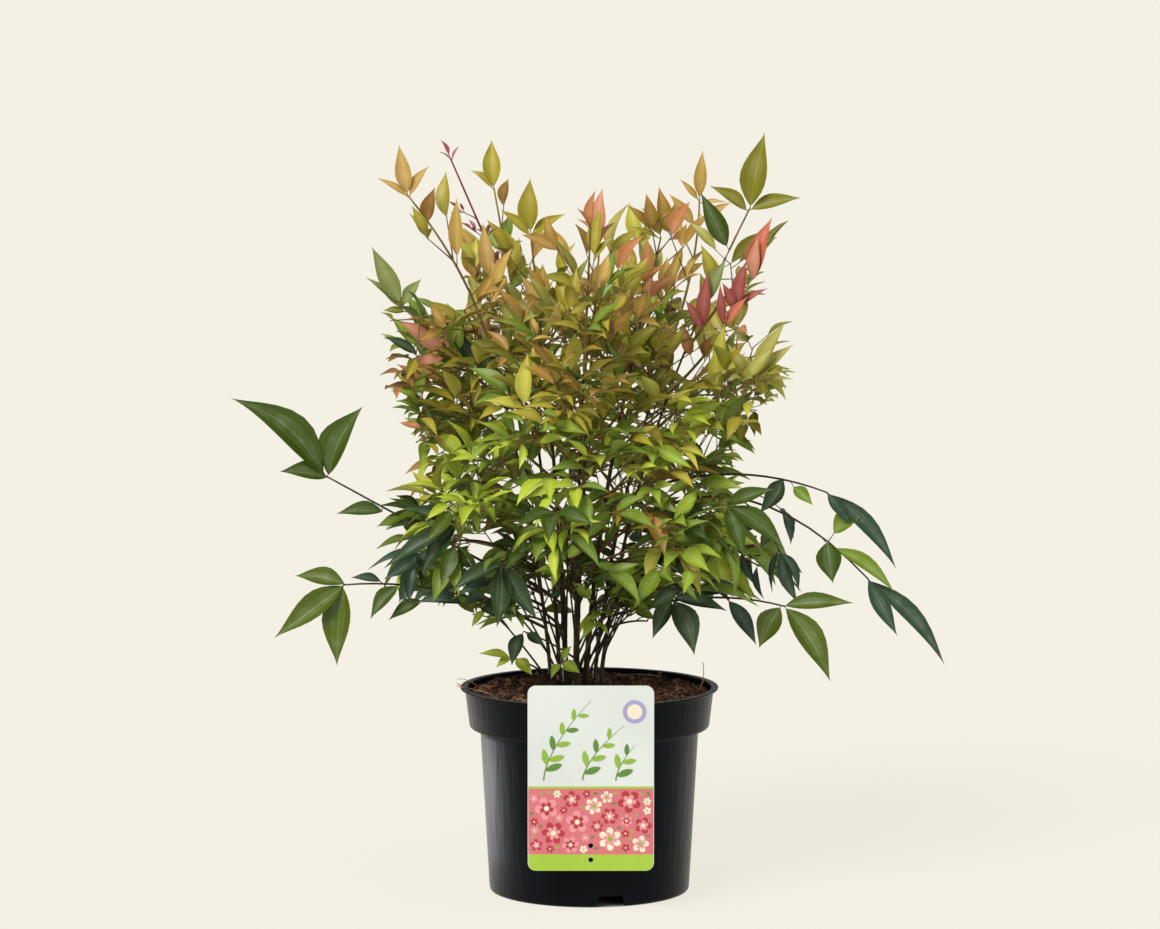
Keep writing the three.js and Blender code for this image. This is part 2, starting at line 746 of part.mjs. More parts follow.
function piece(name, solid, colour, roughness) {
  const finish = new THREE.MeshStandardMaterial({ color: colour, roughness, metalness: 0 });
  const mesh = new THREE.Mesh(geometryOf(solid), finish);
  mesh.name = name;
  return mesh;
}

const plant = new THREE.Group();
plant.add(piece("pot", pot(), "#1d1e21", 0.42));
plant.add(piece("compost", compost(), "#3a2a20", 0.95));
plant.add(piece("label", label(), "#e9ebe0", 0.35));

const canes = caneCurves();
for (const { name, curve, radii } of canes) {
  plant.add(piece(name, solidOf(limb(curve, radii, CANE.sides)), "#4a3a26", 0.8));
}
const sprays = growSprays(canes);
for (const spray of sprays) {
  plant.add(piece(spray.name, spraySolid(spray), spray.colour, 0.5));
}

export default plant;
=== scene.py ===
import math

import bmesh
import bpy
import numpy as np
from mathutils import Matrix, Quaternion, Vector, noise
from mathutils.bvhtree import BVHTree
from mathutils.kdtree import KDTree


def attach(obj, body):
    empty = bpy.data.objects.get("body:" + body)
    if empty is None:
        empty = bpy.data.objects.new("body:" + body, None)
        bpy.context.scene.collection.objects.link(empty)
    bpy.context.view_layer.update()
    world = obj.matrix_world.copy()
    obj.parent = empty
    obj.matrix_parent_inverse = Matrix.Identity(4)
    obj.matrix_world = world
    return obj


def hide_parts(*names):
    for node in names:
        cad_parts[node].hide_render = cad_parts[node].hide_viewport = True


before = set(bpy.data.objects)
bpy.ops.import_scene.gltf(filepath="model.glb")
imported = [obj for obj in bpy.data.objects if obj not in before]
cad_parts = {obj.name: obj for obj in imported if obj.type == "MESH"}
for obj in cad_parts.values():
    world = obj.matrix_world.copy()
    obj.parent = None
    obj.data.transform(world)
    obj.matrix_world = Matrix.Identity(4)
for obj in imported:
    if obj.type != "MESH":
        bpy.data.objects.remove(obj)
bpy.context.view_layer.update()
SCENE = bpy.context.scene


def rows(fields, *table):
    """Records with these fields, one for each row of the table."""
    return [dict(zip(fields.split(), row)) for row in table]


# ---------------------------------------------------------------- the source's sizes

MM = 0.001
UP = Vector((0, 0, 1))
GAP = 0.3
POT_HEIGHT = 152
SURFACE = 146  # of the compost
CLUMP = Vector((-10, 0, SURFACE + GAP))
CANE_RADII = (3.1, 1.7)
CANE_SWELL = 1.2
CANE_SPANS = 5
CANE_STRAIGHT = 0.2
CANE_SWAY = (9, 0.08, 8)  # of its azimuth, reach and height
CANE_RINGS = rows(
    "count azimuth foot reach height flank_rise",
    (5, 194, 18, 84, 396, 18),
    (3, 150, 7.5, 36, 384, 0),
)
STOREYS = rows(
    "kind at pitch reach droop bare spread twig leaf hang",
    ("skirt", 0.24, 30, 124, 0.45, 0.5, 54, 38, 50, 0.4),
    ("low", 0.42, 30, 108, 0.25, 0.44, 54, 38, 46, 0.3),
    ("middle", 0.61, 34, 96, 0.15, 0.38, 52, 38, 43, 0.15),
    ("upper", 0.8, 44, 84, 0.08, 0.3, 48, 36, 40, 0),
    ("tuft", 1, 0, 112, 0, 0.16, 38, 40, 39, -0.15),
)
TOP = 1
STOREY_TURN = 22
STOREY_DEPTH = 0.17
STOREY_STRIDE = 3
STOREY_SEEDS = 20
OUTLIERS = rows(
    "name cane height tip droop bare pairs spread twig leaf hang roll",
    ("left_high", 1, 222, (-188, -30, 309), 0, 0.8, 0, 0, 0, 80, -0.15, -55),
    ("left_low", 1, 196, (-178, -55, 230), 0.3, 0.75, 1, 60, 40, 58, 0.8, -25),
    ("right_arch", 3, 275, (225, -20, 203), 0.9, 0.45, 3, 44, 38, 58, 0.7, 20),
    ("right_low", 3, 205, (156, -60, 207), 0.35, 0.75, 1, 62, 38, 52, 0.35, 30),
)
OUTLIER_SEED = 120
STALK_RADII = (1.8, 1.1)
STALK_STEPS = 3
GATHER = 0.85
TWIG_DROOP = 0.6
LIMB_CLEAR = 0.8
LOWEST = 156
ROOM_SPACING = 7
ROOM_BEYOND = (0.25, 0.5, 0.75, 1)
ROOM_TWIG_LEAF = 0.8
ROOM_ARCS = 200  # pieces in which a line's length is summed
SEAT_VEERS = (0, 7, -7, 14, -14, 21, -21, 28, -28)
SEAT_VEER_COST = 0.4
SEAT_ROOMY = 45
SEAT_STEP = 0.1
SEAT_SKIP = 5
SEAT_SIDES = 6

# ---------------------------------------------------------------- the finer plant

# How far a stalk sways by its seed: azimuth, share of the cane, pitch, reach and roll.
SWAYS = {"storey": (7, 0, 6, 0.1, 12), "between": (12, 0.02, 8, 0.15, 20),
         "inner": (100, 0.05, 10, 0.2, 20), "basal": (70, 0.05, 10, 0.3, 20)}
SPREAD_SWAY = 8
TWIG_SWAY = 0.12
FINE_CANE = (2.0, 0.9)
FINE_STALK = (1.2, 0.6)
BASAL_STALK = (0.85, 0.45)
TWIG_RADII = (0.6, 0.4)
SPRIG_RADII = (0.4, 0.3)
PETIOLE_RADII = (0.4, 0.32)
PETIOLE = 1.8
FINE_STEPS = 12  # of a stalk's line
TWIG_STEPS = 4
SPRIG_STEPS = 2
FINE_PAIRS = 5  # of twigs on a storey's stalk
FINER_PAIRS = 4  # on a stalk between the storeys
FINE_TURN = {"skirt": 14, "low": 28, "middle": 42, "upper": 60, "tuft": 75}
TWIG_LONGEST, TWIG_SHRINK = 1.25, 0.75  # how a stalk's twigs get shorter to its end
SPRIG = 12  # length of the small twigs that bear three leaflets each
SPRIG_ANGLE = 50
SPRIG_SIZE = 0.9  # of their leaflets
SPRIGS = [(0.4, -1), (0.5, 1)]  # where on a twig they stand, and on which side
SPRIGGED = {"tuft": -1, "upper": 1, "middle": 3, "low": 3}  # the last pair of twigs with sprigs
CLEAR_ROOM = -12
CELL = 45
# Leaflets in life size: length, breadth.
LEAFLET = {
    "basal": (24, 9), "sprout": (12, 3.4), "skirt": (46, 16), "low": (35, 12), "middle": (31, 10.5),
    "upper": (29, 10.5), "tuft": (30, 11), "left_high": (60, 22), "left_low": (34, 14),
    "right_arch": (44, 14), "right_low": (34, 14),
}
LEAF_WIDEST = 0.4
LEAF_SKEW = 50
LEAF_FOLD = 0.5
SIDE_SIZE = 0.82  # of the two side leaflets
TIP_JOINT = (0.3, 1.4)  # how far past a twig's tip the first leaflet stands, and the step back to the next
# How far each measure of a leaflet varies, and the measure's own step of the seed.
VARIED = {"roll": (34, 7), "skew": (13, 5), "turn": (8, 37), "hang": (0.4, 3), "rise": (0.16, 31),
          "length": (0.2, 11), "breadth": (0.14, 17), "fold": (0.18, 23), "twist": (16, 29),
          "sweep": (0.05, 41), "curl": (0.07, 19)}
LEAF_CURL = 0.04
HANG_CURL = 0.12
# Which way up a leaflet's blade lies, and how much more steeply it rises than in the source.
FACING = {"skirt": (-0.1, -0.45, 0.9), "low": (-0.1, -0.35, 0.93), "middle": (-0.08, -0.35, 0.93),
          "upper": (-0.1, -0.5, 0.85), "tuft": (-0.12, -0.6, 0.8)}
OTHER_FACING = (-0.1, -0.4, 0.9)
RISE = {"middle": 0.1, "upper": 0.25, "tuft": 0.35}
SPACING = {"tuft": 1.5, "upper": 1.3, "low": 1.2, "skirt": 1.5}  # how far leaflets keep apart
HANG = {"skirt": 0.6, "low": 0.6}  # share of the source's hang
LEAF_SHARE = 0.85  # of a leaflet's shortening that its stalk takes up
LEAF_SIZES = (1, 0.75)  # that are tried in turn where room is short
CANE_SPARE, STALK_SPARE = 1.15, 1.2  # how much stouter the wood is that leaflets keep clear of
FIT_ROUNDS, FIT_SHORTER, FIT_LEAF = 12, 0.94, 0.8  # how a stalk is shortened into the crown's outline
# How much longer stalks are that run to the left or the right, if they are long already.
FLANK = {"skirt": 20, "low": 30, "middle": 42, "upper": 16}
LONG_STALK = 72
# Stalks that end a little off the source's tip: how much longer, and how far they bend aside.
TRIM = {"tuft_01": -24, "tuft_08": -16, "tuft_04": -18, "tuft_05": -10, "right_arch": -34,
        "right_low": -12, "left_low": -4, "upper_05": 6, "middle_08": -4, "upper_08": -6,
        "skirt_06": -22, "skirt_08": -32}
LEANS = {"tuft_02": (-18, 0, -4), "tuft_05": (-27, 0, 0), "tuft_08": (4, 0, 0), "right_low": (-8, 0, 14),
         "left_low": (0, 0, 8), "upper_05": (-20, 0, 24), "middle_08": (3, 0, 14), "upper_08": (-9, 0, 12),
         "right_arch": (4, 0, 32), "middle_06": (4, 0, 8), "skirt_06": (-4, 0, 34), "skirt_08": (0, 0, 9)}
# How many pairs of twigs a stalk keeps where single leaflets take their place.
PAIRS = {"tuft_08": 1, "upper_08": 2, "left_low": 0, "right_low": 0, "right_arch": 1}
# End leaflets that the photograph shows one by one: their tint, then for each its direction (x, y, z),
# length, breadth, curl and, where it has one, sweep.
ENDS = {
    "tuft_08": ("moss", (10, -4, 54, 54, 20, 0.02), (36, -8, 10, 37, 12, 0.06), (-27, -8, 19, 33, 12, 0.04)),
    "tuft_02": ("gold", (2, -4, 33, 36, 10, 0.02), (-13, -4, 15, 21, 5, 0.02), (19, -4, 1, 19, 4, 0.02)),
    "tuft_01": ("olive", (-9, -4, 24, 28, 10, 0.02), (-22, -4, 9, 24, 4, 0.02)),
    "tuft_04": ("olive", (0, -4, 38, 39, 16, 0), (26, -6, 16, 29, 9, 0.02), (-22, -6, 20, 29, 9, 0.02)),
    "tuft_05": ("straw", (-6, -3, 36, 36, 12, 0), (13, -5, 20, 26, 9, 0), (-22, -4, 14, 27, 6, 0)),
    "upper_05": ("fern", (-20, -4, 40, 46, 14, 0.03), (12, -4, 18, 23, 10, 0.03), (-26, -4, 21, 34, 7, 0)),
    "middle_08": ("sage", (22, -4, 41, 46, 13, 0.02), (28, -4, 25, 38, 10, 0.02), (29, -4, 2, 29, 6, 0.02),
                  (-16, -6, 28, 32, 10, 0.02)),
    "left_high": ("dark", (-64, -12, 56, 88, 24, 0.04, -0.1), (26, -10, 52, 58, 25, 0.02, 0.05),
                  (-34, -14, 7, 36, 17, 0.05)),
    "left_low": ("grove", (-5, -12, -56, 57, 22, 0.06), (-54, -14, -36, 62, 20, 0.1, 0.04),
                 (-40, 6, 10, 38, 15, 0.22)),
    "right_arch": ("slate", (46, -6, -48, 84, 13, 0.22, 0.06), (21, -8, -40, 46, 13, 0.06)),
    "crest": ("slate", (44, -6, -46, 74, 13, 0.16, 0.06), (16, -8, -20, 28, 9, 0.1)),
    "foot_left": ("lime", (-26, -6, 4, 23, 7.5, 0.02), (-10, -4, -5, 13, 7, 0.05),
                  (11, -8, -9, 18, 10, 0.06)),
    "foot_droop": ("deep", (-8, -8, -20, 25, 12, 0.1), (16, -8, -10, 17, 8, 0.06)),
    "foot_centre": ("fresh", (14, -8, -7, 16, 9, 0.06), (-7, -8, -9, 14, 7, 0.06), (6, -4, 12, 14, 7, 0.02)),
    "upper_08": ("red", (6, -6, 31, 34, 11, 0.02), (19, -4, 13, 26, 7, 0.02), (-8, -6, 18, 22, 8, 0.02)),
    "middle_06": ("yellow", (2, -6, 36, 38, 13, 0.02), (26, -8, 8, 30, 9, 0.02), (-26, -8, 6, 30, 9, 0.02)),
    "low_01": ("dark", (30, -10, -20, 36, 14, 0.06), (8, -12, -32, 34, 13, 0.06), (30, 8, 8, 34, 12, 0.06)),
    "low_05": ("deep", (-48, -10, -22, 58, 15, 0.2, 0.05), (-22, -12, -28, 40, 15, 0.08),
               (-34, -8, 12, 42, 12, 0.08)),
    "low_06": ("dark", (-6, -44, -12, 44, 15, 0.1), (28, -30, -4, 36, 13, 0.08),
               (-32, -28, -6, 36, 13, 0.08)),
    "low_08": ("dark", (38, -8, -27, 50, 16, 0.1, 0.04), (12, -10, -34, 38, 14, 0.06),
               (32, -6, 12, 36, 12, 0.05)),
    "skirt_06": ("deep", (-3, -10, -40, 44, 16, 0.08, 0.06), (22, -10, -32, 46, 15, 0.08, -0.05),
                 (-30, -14, -12, 42, 14, 0.1)),
    "skirt_08": ("deep", (14, -14, -34, 42, 19, 0.08, 0.05), (-14, -14, -26, 32, 13, 0.06),
                 (38, -8, -6, 40, 13, 0.1)),
    "right_low": ("grove", (33, -12, -52, 62, 20, 0.06, 0.04), (49, -8, 4, 50, 14, 0.04),
                  (-15, -6, -27, 33, 19, 0.05)),
}
# Single leaflets on a stalk: their tint, where on it, the petiole, then the blade as above.
PENDANTS = {
    "left_high": [("dark", 0.73, (0, -2, -3), -31, -4, 0, 34, 13, 0.06)],
    "left_low": [("dark", 0.72, (-1, -2, -1), -18, -6, -19, 31, 14, 0.08),
                 ("slate", 0.8, (-2, 0, 2), -22, -4, 4, 22, 8, 0.06),
                 ("dark", 0.55, (-8, -5, -8), -24, -6, -12, 28, 11, 0.08)],
    "tuft_08": [("dark", 0.66, (-2, -2, 3), -18, -6, 37, 44, 15, 0.04),
                ("orange", 0.42, (27, -4, 0), 13, -6, 45, 48, 15, 0.02, 0.04),
                ("salmon", 0.42, (27, -5, 0), 3, -8, 33, 34, 10, 0.02),
                ("moss", 0.5, (9, 26, 3), 24, 10, 22, 38, 11, 0.04),
                ("olive", 0.34, (4, 2, 2), -9, -6, 24, 34, 12, 0.04),
                ("fern", 0.2, (3, -3, 4), 12, -6, 30, 34, 12, 0.04)],
    "tuft_05": [("gold", 0.5, (0, -4, 9), 0, -6, 42, 43, 11, 0.02),
                ("brown", 0.85, (2, -3, -3), 5, -5, 25, 26, 12, 0.06),
                ("straw", 0.3, (13, -5, 15), -4, -6, 38, 40, 12, 0.02)],
    "tuft_02": [("gold", 0.85, (-4, -3, -4), -17, -4, 22, 30, 9, 0.03),
                ("straw", 0.9, (3, -3, -6), 17, -4, 12, 26, 8, 0.05)],
    "middle_08": [("yellow", 0.6, (6, -6, 14), -4, -6, 33, 34, 12, 0.03, 0.03),
                  ("lime", 0.3, (0, -14, 6), 24, -8, 16, 38, 14, 0.05),
                  ("yellow", 0.15, (-2, -14, 2), 20, -8, 12, 34, 13, 0.05)],
    "upper_08": [("red", 0.45, (-3, -4, 19), 3, -6, 40, 41, 11, 0.02),
                 ("red", 0.45, (-4, -4, 18), -11, -6, 19, 25, 8, 0.02),
                 ("orange", 0.8, (0, -3, 0), 14, -6, 20, 27, 8, 0.02),
                 ("red", 0.8, (-2, -3, 0), -3, -6, 30, 31, 7, 0.02),
                 ("copper", 0.25, (-3, -5, 9), -6, -6, 23, 26, 9, 0.03),
                 ("brown", 0.4, (0, -4, 1), 5, -6, 13, 17, 9, 0.03)],
    "upper_05": [("salmon", 0.55, (-7, -4, 2), -28, -6, 21, 41, 15, 0.03),
                 ("salmon", 0.55, (-4, -4, 5), 10, -4, 25, 27, 11, 0.02),
                 ("salmon", 0.55, (-7, -6, -2), -26, -8, -6, 29, 10, 0.06),
                 ("salmon", 0.3, (6, -6, 5), 12, -5, 24, 27, 11, 0.03),
                 ("deep", 0.3, (4, -9, 8), -27, -8, 36, 46, 11, 0.03, 0.04),
                 ("dark", 0.12, (4, -12, 6), -12, -8, 40, 42, 12, 0.03, 0.03),
                 ("mid", 0.5, (-1, -8, 7), 1, -8, 27, 29, 13, 0.03),
                 ("deep", 0.85, (-2, -8, -22), -24, -6, 14, 28, 8, 0.03)],
    "right_low": [("slate", 0.66, (0, -3, -2), 20, -8, -31, 38, 12, 0.1, 0.04)],
    "right_arch": [("dark", 0.8, (4, -4, -4), 4, -8, -28, 30, 19, 0.05),
                   ("mid", 0.83, (4, -3, 7), 19, -6, 15, 28, 17, 0.1),
                   ("mid", 0.84, (3, -4, -3), 46, -6, -30, 55, 12, 0.12, 0.04)],
    "crest": [("deep", 0.78, (-3, -5, 1), -14, -6, -16, 30, 15, 0.16, 0.14),
              ("mid", 0.8, (2, -4, -4), 12, -8, -10, 20, 10, 0.1)],
}
HERO_FACING = (-0.15, -0.8, 0.6)
HERO_VARY = 8
HERO_FOLD = 0.6
# Finer stalks between the storeys: how far above one, and how long beside it.
BETWEEN = {"skirt": (0.09, 0.8), "low": (0.095, 0.85), "middle": (0.095, 0.85), "upper": (0.1, 0.9)}
BETWEEN_TURN, BETWEEN_LIFT, BETWEEN_SEEDS = 22, 6, 300
INNER = {"reach": 62, "bare": 0.35, "lift": 12, "seeds": 600}  # between the canes, to the front and the back
BASAL = {"kind": "basal", "at": 0.05, "pitch": 60, "reach": 82, "droop": 0.12, "bare": 0.5, "pairs": 2,
         "spread": 50, "twig": 15, "leaf": 26, "hang": 0.25}
BASAL_SEED = 500
BASAL_STOREYS = 3
# Single stalks: a young red shoot at the upper left, one whose long leaflets arch over to the right,
# and small ones low on the clump.
SINGLES = rows(
    "name kind cane share tip droop bare pairs spread twig leaf hang roll",
    ("sprout", "sprout", 6, 0.97, (-97, 0, 531), 0, 0.45, 5, 42, 9, 16, -0.2, 0),
    ("crest", "right_arch", 3, 0.56, (170, -24, 300), 0.35, 0.6, 0, 44, 30, 58, 0.7, 20),
    ("foot_left", "basal", 1, 0.05, (-53, -26, 175), 0.12, 0.5, 0, 50, 15, 26, 0.25, 0),
    ("foot_droop", "basal", 2, 0.12, (-44, -40, 196), 0.12, 0.5, 0, 50, 15, 26, 0.25, 0),
    ("foot_centre", "basal", 7, 0.03, (-19, -34, 172), 0.12, 0.5, 0, 50, 15, 26, 0.25, 0),
    ("foot_right", "basal", 8, 0.1, (46, -20, 222), 0.12, 0.5, 1, 50, 15, 26, 0.25, 0),
)
SINGLE_SEED = 700
# The crown's outline: how far out leaves reach at each height, narrow above the skirt.
REACHES = [(170, 112), (186, 124), (212, 158), (246, 168), (280, 164), (302, 146), (316, 124), (340, 132),
           (364, 148), (394, 158), (440, 154), (482, 152), (600, 156)]
CENTRE = Vector((-3, 0, 0))
CROWN_DEPTH = 0.92
# Openings where the photograph shows sky through the crown: x, height and their half sizes, as seen
# from the camera.
VIEW = Vector((-6.9, -3600, 703.8))
SKY = [(-116, 459, 20, 20), (-96, 440, 6, 10), (97, 458, 10, 20), (73, 394, 12, 13), (125, 424, 10, 14),
       (141, 465, 13, 18), (136, 287, 26, 20), (-100, 194, 38, 12), (64, 200, 34, 14), (22, 256, 15, 8),
       (-76, 260, 26, 4), (88, 333, 8, 8), (-42, 232, 14, 9), (20, 306, 7, 9), (-38, 318, 6, 8),
       (54, 352, 8, 6)]
# The crown thins out between two heights, and bears leaves only above the bare stems over the pot.
THIN_FROM, THIN_OVER, THIN_SHARE, THIN_SLOPE = 436, 56, 0.8, 0.07
STEMS_TOP, STEMS_RISE, STEMS_WIDTH, STEMS_FRONT = 200, 52, 20, 15

# ---------------------------------------------------------------- geometry


def lerp(a, b, share):
    return a + (b - a) * share


def sway(seed, index):
    """A number from -1 to 1 that depends only on the seed and the index, as in the source."""
    wave = math.sin(seed * 12.9898 + index * 78.233) * 43758.5453
    return 2 * (wave - math.floor(wave)) - 1


def polar(radius, angle, x=0, y=0):
    return x + radius * math.cos(angle), y + radius * math.sin(angle)


def turns(sides):
    return [2 * math.pi * i / sides for i in range(sides)]


def along(azimuth, pitch=0):
    a, p = math.radians(azimuth), math.radians(pitch)
    return Vector((math.cos(a) * math.cos(p), math.sin(a) * math.cos(p), math.sin(p)))


def turned(vector, axis, degrees):
    return Quaternion(axis, math.radians(degrees)) @ vector


def spokes(ahead, sides):
    """Directions square to a heading, turned evenly round it."""
    reference = Vector((1, 0, 0)) if abs(ahead.z) > 0.9 else UP
    side = reference.cross(ahead).normalized()
    other = ahead.cross(side).normalized()
    return [side * math.cos(a) + other * math.sin(a) for a in turns(sides)]


def upright_of(ahead, roll, facing=UP):
    across = facing.cross(ahead)
    if across.length_squared < 0.01:
        across = Vector((1, 0, 0))
    return turned(ahead.cross(across).normalized(), ahead, roll)


def bezier(foot, knee, tip, share):
    rest = 1 - share
    return foot * rest * rest + knee * 2 * share * rest + tip * share * share


def bent(start, ahead, length, droop, steps):
    line = []
    for k in range(steps + 1):
        share = k / steps
        place = start + ahead * (length * share)
        place.z -= droop * length * share * share
        line.append(place)
    return line


def place_on(line, share):
    step = share * (len(line) - 1)
    k = min(int(step), len(line) - 2)
    return line[k].lerp(line[k + 1], step - k)


def heading(line, k=None):
    """The way at the line's point k, or at its end."""
    k = len(line) - 1 if k is None else k
    return (line[min(k + 1, len(line) - 1)] - line[max(k - 1, 0)]).normalized()


def tapered(radii, line):
    return [lerp(*radii, k / (len(line) - 1)) for k in range(len(line))]


def flowing(line):
    """The source's smooth curve through a line's points, as a function of the share from 0 to 1."""

    def at(share):
        place = (len(line) - 1) * share
        k = min(int(place), len(line) - 2)
        w = place - k
        p1, p2 = line[k], line[k + 1]
        p0 = line[k - 1] if k > 0 else line[0] * 2 - line[1]
        p3 = line[k + 2] if k + 2 < len(line) else line[-1] * 2 - line[-2]
        d0, d1, d2 = (p0 - p1).length, (p1 - p2).length, (p2 - p3).length
        t1 = ((p1 - p0) / d0 - (p2 - p0) / (d0 + d1) + (p2 - p1) / d1) * d1
        t2 = ((p2 - p1) / d1 - (p3 - p1) / (d1 + d2) + (p3 - p2) / d2) * d1
        bend = -3 * p1 + 3 * p2 - 2 * t1 - t2
        return p1 + t1 * w + bend * w**2 + (2 * p1 - 2 * p2 + t1 + t2) * w**3

    return at


def sites(line, leaf):
    """Places along a line, and the same with some beyond its end, that say whose room is round them."""
    at = flowing(line)
    arcs = [at(k / ROOM_ARCS) for k in range(ROOM_ARCS + 1)]
    length = sum((b - a).length for a, b in zip(arcs, arcs[1:]))
    count = max(2, math.floor(length / ROOM_SPACING + 0.5))
    own = [at(k / count) for k in range(count + 1)]
    return own, own + [line[-1] + heading(line) * leaf * share for share in ROOM_BEYOND]


def skin(sections, flip=False):
    """A closed skin over rings of points, or single points, one after another: points and faces."""
    points = [place for section in sections for place in section]
    last = len(points) - len(sections[-1])
    caps = [tuple(range(len(sections[0])))[::-1], tuple(range(last, len(points)))]
    faces = [cap for cap in caps if len(cap) > 1]
    base = 0
    for one, other in zip(sections, sections[1:]):
        after = base + len(one)
        sides = max(len(one), len(other))
        for i in range(sides):
            j = (i + 1) % sides
            if len(one) == 1:
                faces.append((base, after + j, after + i))
            elif len(other) == 1:
                faces.append((after, base + i, base + j))
            else:
                faces.append((base + i, base + j, after + j, after + i))
        base = after
    if flip:
        faces = [(face[0], *face[:0:-1]) for face in faces]
    return points, faces


def tube(line, radii, sides):
    return skin([[place + out * radius for out in spokes(heading(line, k), sides)]
                 for k, (place, radius) in enumerate(zip(line, radii))])


# ---------------------------------------------------------------- canes and stalks, as in the source


def cane_list():
    canes = []
    for ring in CANE_RINGS:
        for k in range(ring["count"]):
            seed = len(canes) + 1
            azimuth = ring["azimuth"] + k * 360 / ring["count"] + CANE_SWAY[0] * sway(seed, 1)
            foot = along(azimuth) * ring["foot"] + CLUMP
            tip = along(azimuth) * ring["reach"] * (1 + CANE_SWAY[1] * sway(seed, 2))
            flank = math.cos(math.radians(azimuth)) ** 2
            tip.z = ring["height"] + ring["flank_rise"] * flank + CANE_SWAY[2] * sway(seed, 3)
            knee = foot.lerp(tip, CANE_STRAIGHT)
            knee.z = lerp(foot.z, tip.z, 0.5)
            line = [bezier(foot, knee, tip, j / CANE_SPANS) for j in range(CANE_SPANS + 1)]
            radii = tapered(CANE_RADII, line)
            radii[0] *= CANE_SWELL
            canes.append({
                "name": f"cane_{seed:02d}", "azimuth": azimuth, "foot": foot, "knee": knee,
                "tip": tip, "line": line, "radii": radii, "seed": seed,
            })
    return canes


def bark_distance(place, cane):
    least = math.inf
    for k in range(1, len(cane["line"])):
        a, b = cane["line"][k - 1], cane["line"][k]
        step = b - a
        part = max(0, min(1, (place - a).dot(step) / step.length_squared))
        radius = lerp(cane["radii"][k - 1], cane["radii"][k], part)
        least = min(least, (a + step * part - place).length - radius)
    return least


def foot_gap(start, ahead, cane):
    rim = [start + out * STALK_RADII[0] for out in spokes(ahead, SEAT_SIDES)]
    return min(bark_distance(place, cane) for place in rim)


def closest(a, b, c, d):
    """The least distance between segments ab and cd, with its share along each."""
    u, v, w = b - a, d - c, a - c
    uu, uv, vv, uw, vw = u.dot(u), u.dot(v), v.dot(v), u.dot(w), v.dot(w)
    pairs = [(s, max(0, min(1, (a + u * s - c).dot(v) / vv))) for s in (0, 1)]
    pairs += [(max(0, min(1, (c + v * t - a).dot(u) / uu)), t) for t in (0, 1)]
    square = uu * vv - uv * uv
    if square > 1e-9:
        s, t = (uv * vw - vv * uw) / square, (uu * vw - uv * uw) / square
        if 0 <= s <= 1 and 0 <= t <= 1:
            pairs.append((s, t))
    return min((((a + u * s) - (c + v * t)).length, s, t) for s, t in pairs)


def blocked(line, limbs):
    radii = tapered(STALK_RADII, line)
    for other, others in limbs:
        for i in range(len(line) - 1):
            for j in range(len(other) - 1):
                least, s, t = closest(line[i], line[i + 1], other[j], other[j + 1])
                stout = lerp(radii[i], radii[i + 1], s) + lerp(others[j], others[j + 1], t)
                if least < stout + 2 * LIMB_CLEAR:
                    return True
    return False


def swayed(kind, seed, azimuth, share, pitch, reach):
    """A stalk's own aim, off the given one by its seed."""
    by = SWAYS[kind]
    return {
        "seed": seed, "azimuth": azimuth + by[0] * sway(seed, 1), "share": share + by[1] * sway(seed, 2),
        "pitch": pitch + by[2] * sway(seed, 3), "reach": reach * (1 + by[3] * sway(seed, 4)),
        "roll": by[4] * sway(seed, 5),
    }


def aimed(stalk, cane, share, seed):
    """A stalk that runs to a given tip."""
    way = Vector(stalk["tip"]) - place_on(cane["line"], share)
    way.z += stalk["droop"] * way.length
    return {
        **stalk, "cane": cane, "share": share, "seed": seed, "reach": way.length,
        "azimuth": math.degrees(math.atan2(way.y, way.x)),
        "pitch": math.degrees(math.asin(way.z / way.length)),
    }


def spray_list(canes):
    around = sorted(canes, key=lambda cane: cane["azimuth"] % 360)
    count = len(around)
    step = 360 / count
    base = sum(cane["azimuth"] % 360 - k * step for k, cane in enumerate(around)) / count
    base -= STOREY_TURN / 2
    sprays = []
    for k, outlier in enumerate(OUTLIERS):
        cane = canes[outlier["cane"] - 1]
        share = (outlier["height"] - cane["foot"].z) / (cane["tip"].z - cane["foot"].z)
        sprays.append({**aimed(outlier, cane, share, OUTLIER_SEED + k), "kind": outlier["name"]})
    for level, storey in enumerate(STOREYS):
        for k, cane in enumerate(around):
            climb = ((k * STOREY_STRIDE) % count + 0.5) / count - 0.5
            share = TOP if storey["at"] == TOP else storey["at"] + STOREY_DEPTH * climb
            azimuth = base + k * step + STOREY_TURN * (level % 2)
            aim = swayed("storey", (level + 1) * STOREY_SEEDS + k, azimuth, share, storey["pitch"],
                         storey["reach"])
            name = f"{storey['kind']}_{k + 1:02d}"
            sprays.append({**storey, "name": name, "cane": cane, "pairs": FINE_PAIRS, **aim})
    return sprays


